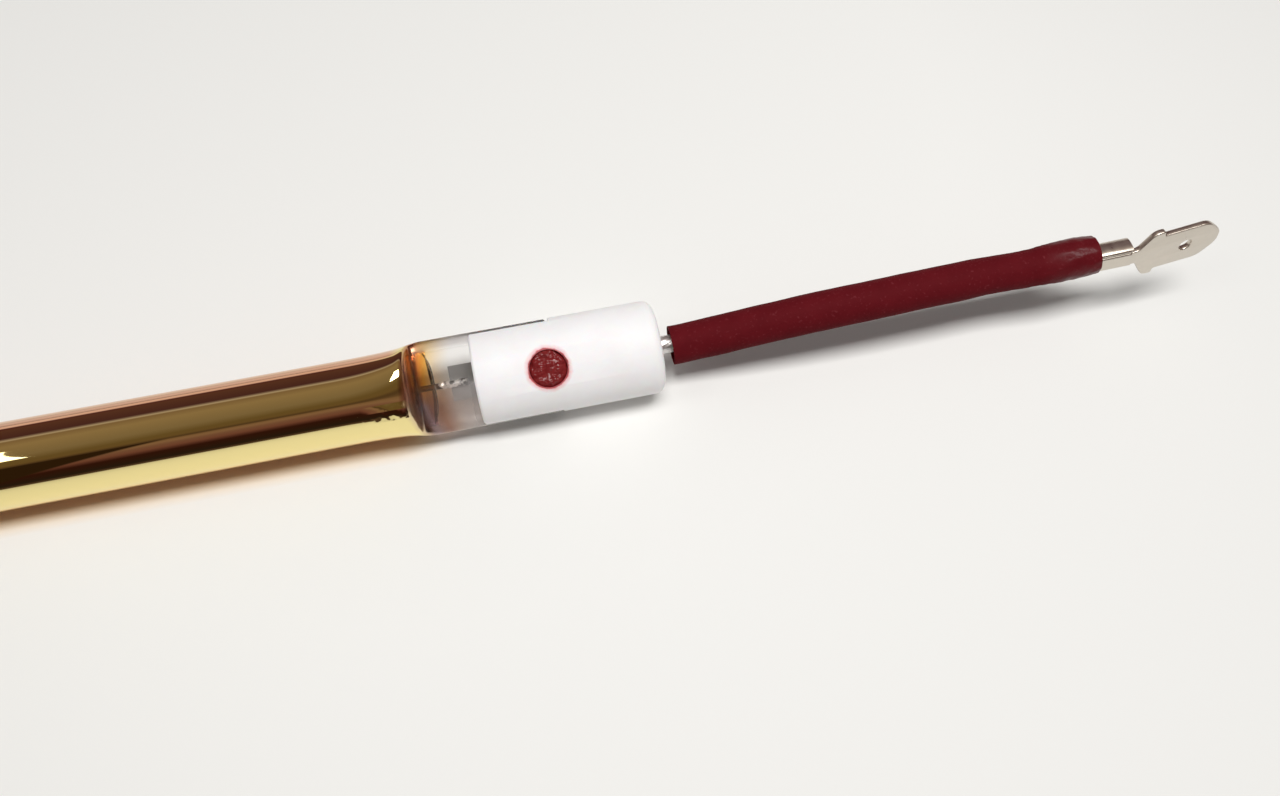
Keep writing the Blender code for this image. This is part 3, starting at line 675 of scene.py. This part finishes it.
def sleeve_material():
    """Maroon coated sleeving: a close braid under a coat that shines where the crimp stretches it."""
    material, tree, shader = new_material("maroon_sleeving")
    place = object_place(tree)
    speckle = noise_node(tree, place, 2600.0, 2.0)
    streaks = noise_node(tree, place, 420.0, 4.0)
    tint = mix_colours(tree, streaks, (0.09, 0.005, 0.008), (0.125, 0.008, 0.012))
    fleck = map_node(tree, speckle, 0.62, 0.75, 0.0, 0.3)
    tint = mix_colours(tree, fleck, tint, (0.25, 0.05, 0.06))
    along = math_node(tree, "ABSOLUTE", axes_of(tree, place)["X"])
    along = math_node(tree, "SUBTRACT", along, CAP_END_X)
    feed(tree, shader, Base_Color=tint, Specular_IOR_Level=map_node(tree, along, *CRIMP_SHEEN, 0.03, 0.13),
         Roughness=map_node(tree, along, *CRIMP_SHEEN, 0.65, 0.3))
    add_bump(tree, shader, speckle, 0.00005, 0.7)
    return material


# Mesh helpers


def lamp_matrix():
    return Matrix.Translation((0.0, 0.0, AXIS_HEIGHT)) @ Matrix.Rotation(LAMP_ROLL, 4, "X")


def end_matrix(sign):
    """The end frame: X outward from the cap's inner rim, Z out of the window."""
    turn = Matrix.Identity(4) if sign > 0 else Matrix.Rotation(math.pi, 4, "Z")
    return lamp_matrix() @ Matrix.Translation((sign * RIM_X, 0.0, 0.0)) @ turn


def new_object(name, data):
    obj = bpy.data.objects.new(name, data)
    bpy.context.scene.collection.objects.link(obj)
    return obj


def skin_rings(bm, rings, close=True, flip=False):
    """Faces between rings of equally many points, with flat ends if closed."""
    loops = [[bm.verts.new(point) for point in ring] for ring in rings]
    faces = []
    count = len(loops[0])
    for near, far in zip(loops, loops[1:]):
        for index in range(count):
            after = (index + 1) % count
            faces.append(bm.faces.new((near[index], near[after], far[after], far[index])))
    if close:
        faces.append(bm.faces.new(list(reversed(loops[0]))))
        faces.append(bm.faces.new(loops[-1]))
    bmesh.ops.recalc_face_normals(bm, faces=faces)
    if flip:
        bmesh.ops.reverse_faces(bm, faces=faces)


def shade(mesh, sharp):
    """Smooth, but for edges over the angle in degrees."""
    mesh.shade_smooth()
    mesh.set_sharp_from_angle(angle=math.radians(sharp))


def mesh_object(bm, name, matrix=Matrix.Identity(4), sharp=35.0):
    bm.transform(matrix)
    mesh = bpy.data.meshes.new(name)
    bm.to_mesh(mesh)
    bm.free()
    shade(mesh, sharp)
    return new_object(name, mesh)


def evaluated_mesh(obj):
    """The object's mesh with its modifiers applied."""
    bpy.context.view_layer.update()
    graph = bpy.context.evaluated_depsgraph_get()
    return bpy.data.meshes.new_from_object(obj.evaluated_get(graph))


def boolean(obj, other, operation):
    step = obj.modifiers.new(operation.lower(), "BOOLEAN")
    step.operation = operation
    step.solver = "EXACT"
    step.object = other


def bake_modifiers(obj, sharp=35.0):
    mesh = evaluated_mesh(obj)
    obj.modifiers.clear()
    obj.data = mesh
    shade(mesh, sharp)


def remove(*objects):
    for obj in objects:
        bpy.data.objects.remove(obj, do_unlink=True)


def install(piece, material, slot, *nodes):
    """Gives a piece its material and its place in the frame."""
    piece.data.materials.clear()
    piece.data.materials.append(material)
    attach(piece, "root")
    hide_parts(*nodes)


def turned_mesh(bm, profile, segments):
    """A closed (radius, x) profile turned about the X axis."""
    rings = [[Vector((x, radius * c, radius * s)) for c, s in circle(segments)] for radius, x in profile]
    skin_rings(bm, rings + [rings[0]], close=False)


def turns(count):
    """Even angles of one full turn."""
    return [2 * math.pi * k / count for k in range(count)]


def circle(count):
    """Cosine and sine at even angles of one full turn."""
    return [(math.cos(angle), math.sin(angle)) for angle in turns(count)]


def clamped(t):
    return min(max(t, 0.0), 1.0)


def smooth_step(t):
    t = clamped(t)
    return t * t * (3 - 2 * t)


def curve_through(rows, steps):
    """The rows of numbers, with smooth rows between them."""
    rows = [Vector(row) for row in rows]
    ends = [2 * rows[0] - rows[1]] + rows + [2 * rows[-1] - rows[-2]]
    found = []
    for a, b, c, d in zip(ends, ends[1:], ends[2:], ends[3:]):
        for step in range(steps):
            t = step / steps
            found.append(0.5 * (2 * b + (c - a) * t + (2 * a - 5 * b + 4 * c - d) * t ** 2
                                + (3 * b - a - 3 * c + d) * t ** 3))
    return found + [rows[-1]]


# Quartz envelope


def section_ring(from_rim, half_width, half_height, squareness):
    """A rounded section at a distance from the right cap's rim, all in millimetres."""
    sealed = smooth_step((FLARE_MIDDLE - from_rim) / FLARE_SPAN)
    near_share = NEAR_SIDE_EASE + (1 - NEAR_SIDE_EASE) * sealed
    near_power = 2 / (2 + (squareness - 2) * near_share)
    far_power = 2 / squareness
    ring = []
    for c, s in circle(QUARTZ_SEGMENTS):
        power = far_power if c > 0 else near_power
        y = half_width * math.copysign(abs(c) ** power, c)
        z = half_height * math.copysign(abs(s) ** power, s)
        ring.append(Vector((RIM_X - from_rim * MM, y * MM, z * MM)))
    return ring


def mirrored(rings):
    """The same rings at the other end, ordered so that the skin runs on."""
    return [[Vector((-p.x, p.y, p.z)) for p in ring] for ring in reversed(rings)]


def section_rings(sections):
    """Rings from the round tube to the last section, with a straight stretch before the first."""
    first = sections[0]
    rings = [section_ring(first[0] + TUBE_LEAD_IN, *first[1:])]
    return rings + [section_ring(*row) for row in curve_through(sections, SECTION_STEPS)]


def skin_sections():
    """The outer skin: the tube, its flare and the flat seal that ends inside the cap."""
    last = SKIN_SECTIONS[-1]
    rings = section_rings(SKIN_SECTIONS)
    seal_end = -PINCH_INSIDE_CAP / MM
    rounding = PINCH_ROUNDING / MM
    rings.append(section_ring(seal_end + rounding, *last[1:]))
    rings.append(section_ring(seal_end, last[1] - rounding, last[2] - rounding, last[3]))
    return mirrored(rings) + rings


def cavity_sections():
    """The hollow of the tube, which flattens and ends in a rounded edge inside the seal."""
    rings = section_rings(CAVITY_SECTIONS)
    dome_start, half_width, half_height, squareness = CAVITY_SECTIONS[-1]
    for step in range(1, CAVITY_DOME_STEPS + 1):
        angle = math.pi / 2 * step / (CAVITY_DOME_STEPS + 1)
        from_rim = dome_start - half_height * math.sin(angle)
        ring = section_ring(from_rim, half_width, half_height * math.cos(angle), squareness)
        for point in ring:
            point.x -= CAVITY_END_CURVE * math.sin(angle) * abs(point.y / (half_width * MM)) ** 4
        rings.append(ring)
    return mirrored(rings) + rings


def make_envelope(coated, inside):
    bm = bmesh.new()
    skin_rings(bm, skin_sections())
    outside = len(bm.faces)
    skin_rings(bm, cavity_sections(), flip=True)
    bm.faces.ensure_lookup_table()
    for face in bm.faces[outside:]:
        face.material_index = 1
    envelope = mesh_object(bm, "quartz_body", lamp_matrix(), 50.0)
    install(envelope, coated, "quartz", "quartz_envelope")
    envelope.data.materials.append(inside)


# Inner leads


def make_inner_lead(side, sign, material):
    """The wire from the filament into the seal, where the quartz closes lumpily round it."""
    low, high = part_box("inner_lead_" + side)
    inner, outer = sorted((abs(low[0]), abs(high[0])))
    count = round((outer - inner) / INNER_LEAD_SPACING)
    rings = []
    for index in range(count + 1):
        x = inner + (outer - inner) * index / count
        sealed = smooth_step((x - RIM_X + SEAL_START) / SEAL_CLOSING)
        ring = []
        for c, s in circle(INNER_LEAD_SIDES):
            lump = noise.noise(Vector((x / MM * 2.4, 1.6 * c, 1.6 * s + sign)))
            radius = INNER_LEAD_RADIUS * (1 + sealed * (INNER_LEAD_SWELL + INNER_LEAD_LUMPS * lump))
            ring.append(Vector((x - RIM_X, radius * c, radius * s)))
        rings.append(ring)
    bm = bmesh.new()
    skin_rings(bm, rings)
    lead = mesh_object(bm, "seal_lead_" + side, end_matrix(sign), 60.0)
    install(lead, material, "tungsten", "inner_lead_" + side)


# Ceramic cap


def cap_profile():
    profile = [(LEAD_HOLE_RADIUS, CAP_LENGTH)]
    for step in range(CAP_EDGE_STEPS + 1):
        angle = math.pi / 2 * step / CAP_EDGE_STEPS
        radius = CAP_RADIUS - CAP_EDGE_RADIUS * (1 - math.sin(angle))
        profile.append((radius, CAP_LENGTH - CAP_EDGE_RADIUS * (1 - math.cos(angle))))
    profile += [(CAP_RADIUS, CAP_RIM_CHAMFER), (CAP_RADIUS - CAP_RIM_CHAMFER, 0.0)]
    profile += [(SLOT_CORE_RADIUS, 0.0), (SLOT_CORE_RADIUS, CAP_BORE_START)]
    profile += [(CAP_BORE_RADIUS, CAP_BORE_START), (CAP_BORE_RADIUS, CAP_LENGTH - CAP_END_WALL)]
    profile.append((LEAD_HOLE_RADIUS, CAP_LENGTH - CAP_END_WALL))
    return profile


def box_object(name, low, high):
    low, high = Vector(low), Vector(high)
    place = Matrix.Translation((low + high) / 2) @ Matrix.Diagonal((*(high - low), 1.0))
    bm = bmesh.new()
    bmesh.ops.create_cube(bm, size=1.0, matrix=place)
    return mesh_object(bm, name)


def window_cutter():
    skin, over = CAP_RADIUS - WINDOW_CHAMFER, CAP_RADIUS + WINDOW_CHAMFER
    profile = [(WINDOW_RADIUS + 2 * WINDOW_CHAMFER, over), (WINDOW_RADIUS, skin), (WINDOW_RADIUS, 0.0)]
    rings = [[Vector((WINDOW_FROM_RIM + radius * c, radius * s, height)) for c, s in circle(WINDOW_SIDES)]
             for radius, height in profile]
    bm = bmesh.new()
    skin_rings(bm, rings)
    return mesh_object(bm, "window_cutter")


def make_cap(side, sign, material):
    bm = bmesh.new()
    turned_mesh(bm, cap_profile(), CAP_SEGMENTS)
    cap = mesh_object(bm, "cap_" + side)
    reach = CAP_RADIUS * 1.5
    slot = box_object("slot_cutter", (-MM, -reach, -SLOT_WIDTH / 2), (SLOT_DEPTH, reach, SLOT_WIDTH / 2))
    window = window_cutter()
    boolean(cap, slot, "DIFFERENCE")
    boolean(cap, window, "DIFFERENCE")
    soften = cap.modifiers.new("soft edges", "BEVEL")
    soften.width = CAP_SOFT_EDGE
    soften.segments = 2
    soften.limit_method = "ANGLE"
    soften.angle_limit = math.radians(40.0)
    bake_modifiers(cap)
    remove(slot, window)
    cap.data.transform(end_matrix(sign))
    install(cap, material, "ceramic", "ceramic_cap_" + side)


# Sealant


def sealant_height(x, y, seed):
    lump = noise.noise(Vector((x / MM * 0.9, y / MM * 0.9, seed)))
    grit = noise.noise(Vector((x / MM * 2.6, y / MM * 2.6, seed + 5.0)))
    return SEALANT_CROWN + SEALANT_LUMPS * lump + SEALANT_GRIT * grit


def make_sealant(side, sign, material):
    rings = []
    for ring in range(1, SEALANT_RINGS + 1):
        radius = SEALANT_RADIUS * ring / SEALANT_RINGS
        sag = SEALANT_SAG * (ring / SEALANT_RINGS) ** 6
        points = []
        for c, s in circle(SEALANT_SPOKES):
            x, y = radius * c, radius * s
            points.append(Vector((WINDOW_FROM_RIM + x, y, sealant_height(x, y, 3.0 * sign) - sag)))
        rings.append(points)
    foot = [Vector((p.x, p.y, SEALANT_FOOT)) for p in rings[-1]]
    bm = bmesh.new()
    skin_rings(bm, rings + [foot])
    plug = mesh_object(bm, "sealant_" + side, end_matrix(sign), 60.0)
    install(plug, material, "sealant", "sealant_plug_" + side)


# Leads


def lead_path(sign):
    """The lead's centre line, from inside the cap to past the tab."""
    route = [Vector((sign * (CAP_END_X + x * MM), y * MM, z * MM)) for x, y, z in LEAD_ROUTE]
    route[0].z = AXIS_HEIGHT
    route[1].z = AXIS_HEIGHT
    path = curve_through(route, PATH_STEPS)
    heading = (route[-1] - route[-2]).normalized()
    path.append(path[-1] + heading * STRAIGHT_END)
    return [route[0] - Vector((sign * LEAD_INSIDE, 0.0, 0.0))] + path


def stations(path, start, end, spacing):
    """Even points between two distances from the cap's end face, each with its distance and heading."""
    count = max(2, round((end - start) / spacing))
    wanted = [LEAD_INSIDE + start + (end - start) * index / count for index in range(count + 1)]
    found = []
    travelled = 0.0
    for a, b in zip(path, path[1:]):
        length = (b - a).length
        while wanted and wanted[0] <= travelled + length + 1e-9:
            place = a.lerp(b, (wanted[0] - travelled) / length)
            found.append((place, wanted.pop(0) - LEAD_INSIDE, (b - a).normalized()))
        travelled += length
    return found


def tube_rings(marks, segments, radius):
    """Rings across the path. radius is a function of the distance and the angle round the heading."""
    rings = []
    for centre, distance, heading in marks:
        up = (Vector((0.0, 0.0, 1.0)) - heading * heading.z).normalized()
        across = heading.cross(up)
        rings.append([centre + radius(distance, angle) * (math.cos(angle) * up + math.sin(angle) * across)
                      for angle in turns(segments)])
    return rings


def conductor_radius(distance, angle):
    """Twelve strands laid round a core, squeezed thinner in the terminal's barrel."""
    barrel_start = BARREL_END - BARREL_LENGTH
    squeeze = smooth_step((distance - barrel_start + SQUEEZE_START) / SQUEEZE_LENGTH)
    radius = CONDUCTOR_RADIUS + (CRIMPED_RADIUS - CONDUCTOR_RADIUS) * squeeze
    phase = angle + 2 * math.pi * distance / STRAND_LAY
    return radius - STRAND_DEPTH * (1 - abs(math.sin(phase * STRAND_COUNT / 2))) ** 2


def make_conductor(side, path, material):
    start, end = -LEAD_INSIDE + CONDUCTOR_INSET, BARREL_END - NECK_ROOT - CONDUCTOR_SHORT
    marks = stations(path, start, end, CONDUCTOR_SPACING)
    bm = bmesh.new()
    skin_rings(bm, tube_rings(marks, 8 * STRAND_COUNT, conductor_radius))
    cord = mesh_object(bm, "conductor_" + side, sharp=60.0)
    install(cord, material, "wire", "lead_conductor_" + side)


SLEEVE_CURVE = curve_through(SLEEVE_SECTIONS, SLEEVE_STEPS)


def sleeve_section(distance):
    """The sleeving's mean outer radius and its sideways shift at a distance from the cap."""
    row = SLEEVE_CURVE[-1]
    for before, after in zip(SLEEVE_CURVE, SLEEVE_CURVE[1:]):
        if distance / MM <= after[0] + 1e-6:
            row = before.lerp(after, (distance / MM - before[0]) / (after[0] - before[0]))
            break
    return row[1] / 2 * MM, row[2] * MM


def sleeve_radius(distance, angle):
    """The sleeving's outer radius: it wrinkles over the crimp, and is never quite round."""
    radius = sleeve_section(distance)[0]
    spot = Vector((distance / MM * 0.35, 1.6 * math.cos(angle), 1.6 * math.sin(angle)))
    crease = Vector((distance / MM * 1.1, 3.0 * math.cos(angle), 3.0 * math.sin(angle) + 9.0))
    wrinkled = clamped((distance - WRINKLES_FROM) / (WRINKLES_FULL - WRINKLES_FROM))
    return radius + SLEEVE_UNEVENNESS * noise.noise(spot) + SLEEVE_WRINKLES * wrinkled * noise.noise(crease)


def sleeve_bore(distance, angle):
    return sleeve_radius(distance, angle) - SLEEVE_WALL


def make_sleeve(side, path, material):
    start, end = SLEEVE_SECTIONS[0][0] * MM, SLEEVE_SECTIONS[-1][0] * MM
    marks = [(centre + Vector((0.0, sleeve_section(distance)[1], 0.0)), distance, heading)
             for centre, distance, heading in stations(path, start, end, SLEEVE_SPACING)]
    outer = tube_rings(marks, SLEEVE_SEGMENTS, sleeve_radius)
    inner = tube_rings(marks, SLEEVE_SEGMENTS, sleeve_bore)
    bm = bmesh.new()
    skin_rings(bm, outer + list(reversed(inner)) + [outer[0]], close=False)
    bmesh.ops.remove_doubles(bm, verts=bm.verts, dist=1e-7)
    sleeve = mesh_object(bm, "sleeve_" + side, sharp=60.0)
    install(sleeve, material, "sleeve", "lead_sleeve_" + side)
    return sleeve


# Tab terminals


def rounded_outline(corners, radii, steps=6):
    """The outline with each corner rounded by an arc-like curve of about its radius."""
    outline = []
    count = len(corners)
    for index, (corner, radius) in enumerate(zip(corners, radii)):
        corner = Vector(corner)
        before = Vector(corners[index - 1]) - corner
        after = Vector(corners[(index + 1) % count]) - corner
        if radius <= 0.0:
            outline.append(corner)
            continue
        reach = min(radius, before.length * 0.48, after.length * 0.48)
        start, end = corner + before.normalized() * reach, corner + after.normalized() * reach
        for step in range(steps + 1):
            t = step / steps
            outline.append(start * (1 - t) ** 2 + corner * 2 * t * (1 - t) + end * t ** 2)
    return outline


def blade_outlines():
    shoulder_x = NECK_LENGTH
    blade_x = shoulder_x + SHOULDER_LENGTH
    tip = blade_x + TAB_LENGTH
    edge = [
        ((shoulder_x, SHOULDER_HALF_WIDTH), SHOULDER_INNER_RADIUS),
        ((blade_x, SHOULDER_HALF_WIDTH), SHOULDER_OUTER_RADIUS),
        ((blade_x, TAB_HALF_WIDTH), BLADE_ROOT_RADIUS),
        ((tip - TAB_TIP_CHAMFER, TAB_HALF_WIDTH), TAB_CORNER_RADIUS),
        ((tip, TAB_HALF_WIDTH - TAB_TIP_CHAMFER), TAB_CORNER_RADIUS),
    ]
    neck = [((-NECK_ROOT, NECK_HALF_WIDTH), 0.0), ((NECK_STRAIGHT, NECK_HALF_WIDTH), NECK_RADIUS)]
    upper = neck + [((x, y - BLADE_DROP), radius) for (x, y), radius in edge]
    lower = [((x, -y - BLADE_DROP), radius) for (x, y), radius in reversed(edge)]
    lower += [((x, -y), radius) for (x, y), radius in reversed(neck)]
    corners = upper + lower
    outline = rounded_outline([place for place, radius in corners], [radius for place, radius in corners])
    hole_x = blade_x + TAB_HOLE_FROM_SHOULDER
    hole = [(hole_x + TAB_HOLE_RADIUS * c, TAB_HOLE_RADIUS * s - BLADE_DROP)
            for c, s in circle(TAB_HOLE_SIDES)]
    return [outline, hole]


def barrel_outlines():
    """The crimped barrel's section: squarish, flat above, with one groove, round a bore."""
    skin = []
    for angle in turns(BARREL_SIDES):
        c, s = math.cos(angle), math.sin(angle)
        square = (abs(c) ** BARREL_SQUARENESS + abs(s) ** BARREL_SQUARENESS) ** (-1 / BARREL_SQUARENESS)
        off_groove = math.remainder(angle - GROOVE_AT, 2 * math.pi) / GROOVE_SPREAD
        dip = GROOVE_DEPTH * math.exp(-off_groove ** 2)
        radius = BARREL_RADIUS * square
        skin.append(((radius - dip) * c, min(radius * s, BARREL_FLAT) - dip * s))
    hole = [(BARREL_BORE_RADIUS * c, BARREL_BORE_RADIUS * s) for c, s in circle(BARREL_SIDES // 2)]
    return [skin, hole]


def flat_object(name, outlines, half_thickness, edge, place):
    """A closed plate with rounded edges from flat outlines."""
    curve = bpy.data.curves.new(name, "CURVE")
    curve.dimensions = "2D"
    curve.fill_mode = "BOTH"
    curve.extrude = half_thickness - edge
    curve.bevel_depth = edge
    curve.bevel_resolution = 2
    curve.offset = -edge
    for outline in outlines:
        spline = curve.splines.new("POLY")
        spline.points.add(len(outline) - 1)
        for index, (x, y) in enumerate(outline):
            spline.points[index].co = (x, y, 0.0, 1.0)
        spline.use_cyclic_u = True
    holder = new_object(name, curve)
    mesh = evaluated_mesh(holder)
    remove(holder)
    bm = bmesh.new()
    bm.from_mesh(mesh)
    bmesh.ops.remove_doubles(bm, verts=bm.verts, dist=0.000002)
    bm.transform(place)
    bm.to_mesh(mesh)
    bm.free()
    return new_object(name, mesh)


def make_terminal(side, path, material):
    along_x = Matrix(((0, 0, 1), (1, 0, 0), (0, 1, 0))).to_4x4()
    barrel_place = Matrix.Translation((-BARREL_LENGTH / 2, 0.0, 0.0)) @ along_x
    barrel = flat_object("barrel_" + side, barrel_outlines(), BARREL_LENGTH / 2, BARREL_EDGE, barrel_place)
    lift = Matrix.Translation((0.0, 0.0, BARREL_FLAT - TAB_HALF_THICKNESS))
    terminal = flat_object("tab_" + side, blade_outlines(), TAB_HALF_THICKNESS, TAB_EDGE,
                           lift @ Matrix.Rotation(TAB_BEND, 4, "Y"))
    boolean(terminal, barrel, "UNION")
    bake_modifiers(terminal, 40.0)
    remove(barrel)
    heading = (path[-1] - path[-2]).normalized()
    seam = Vector((0.0, -math.sin(TAB_ROLL), math.cos(TAB_ROLL)))
    seam = (seam - heading * seam.dot(heading)).normalized()
    turn = Matrix((heading, seam.cross(heading), seam)).transposed().to_4x4()
    end = stations(path, 0.0, BARREL_END, BARREL_END / 2)[-1][0]
    terminal.data.transform(Matrix.Translation(end) @ turn)
    install(terminal, material, "tab", "tab_terminal_" + side)
    return terminal


# Pieces that keep the frame's own shape


def dress_nodes():
    finishes = {
        "tungsten": metal_material("tungsten_wire", (0.34, 0.34, 0.36), 0.4),
        "molybdenum": metal_material("molybdenum_pin", (0.42, 0.42, 0.44), 0.35),
        "foil": metal_material("molybdenum_foil", (0.38, 0.38, 0.37), 0.5, 700.0, 0.00004),
        "wire": metal_material("nickel_ferrule", (0.6, 0.57, 0.54), 0.35),
    }
    kinds = {
        "tungsten_filament": "tungsten",
        "filament_support": "tungsten",
        "outer_pin": "molybdenum",
        "seal_foil": "foil",
        "splice_ferrule": "wire",
    }
    for name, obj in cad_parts.items():
        for start, finish in kinds.items():
            if name.startswith(start):
                obj.data.materials.clear()
                obj.data.materials.append(finishes[finish])


# World


def dark_thing(tree, direction, towards, lean):
    """Where the room's dark thing stands. Its edge runs aslant, and shows along the tube's left part."""
    flat = length_node(tree, towards, direction["Z"])
    along = math_node(tree, "ARCTAN2", product(tree, direction["X"], -1.0), flat)
    past = math_node(tree, "MAXIMUM", math_node(tree, "SUBTRACT", along, DARK_EDGE_FROM), 0.0)
    edge = math_node(tree, "ADD", DARK_EDGE_LEAN, product(tree, past, DARK_EDGE_SLOPE))
    edge = math_node(tree, "ADD", edge, product(tree, past, past, DARK_EDGE_CURVE))
    below = share(tree, math_node(tree, "SUBTRACT", edge, lean), -DARK_EDGE_BLUR, DARK_EDGE_BLUR)
    return product(tree, share(tree, lean, *DARK_START), below)


def make_world():
    """A room of soft bands for the mirror coat. Matt surfaces get one even fill from it instead."""
    world = bpy.data.worlds.new("room")
    bpy.context.scene.world = world
    world.use_nodes = True
    tree = world.node_tree
    direction = axes_of(tree, add_node(tree, "ShaderNodeTexCoord").outputs["Generated"])
    towards = product(tree, direction["Y"], -1.0)
    lean = math_node(tree, "ARCTAN2", towards, direction["Z"])
    bands = [((degrees + 90.0) / 180.0, colour) for degrees, colour in ROOM_BANDS]
    room = ramp_node(tree, share(tree, lean, -math.pi / 2, math.pi / 2), bands)
    room = mix_colours(tree, dark_thing(tree, direction, towards, lean), room, DARK_COLOUR)
    rays = add_node(tree, "ShaderNodeLightPath").outputs
    room = mix_colours(tree, rays["Is Diffuse Ray"], room, FILL_COLOUR)
    room = mix_colours(tree, rays["Is Camera Ray"], room, BACKDROP_COLOUR)
    tree.links.new(room, tree.nodes["Background"].inputs["Color"])


def main():
    bpy.context.scene.view_settings.view_transform = "Standard"
    make_camera()
    make_floor()
    make_lights()
    make_world()
    make_envelope(quartz_material(), cavity_material())
    dress_nodes()
    sealed_wire = inner_lead_material()
    ceramic = ceramic_material()
    sealant = sealant_material()
    strands = metal_material("nickel_strands", (0.93, 0.91, 0.89), 0.42)
    tin = metal_material("tinned_tab", (0.72, 0.66, 0.58), 0.32, 900.0)
    cloth = sleeve_material()
    for side, sign in SIDES.items():
        make_inner_lead(side, sign, sealed_wire)
        make_cap(side, sign, ceramic)
        make_sealant(side, sign, sealant)
        path = lead_path(sign)
        sleeve = make_sleeve(side, path, cloth)
        terminal = make_terminal(side, path, tin)
        make_conductor(side, path, strands)


main()
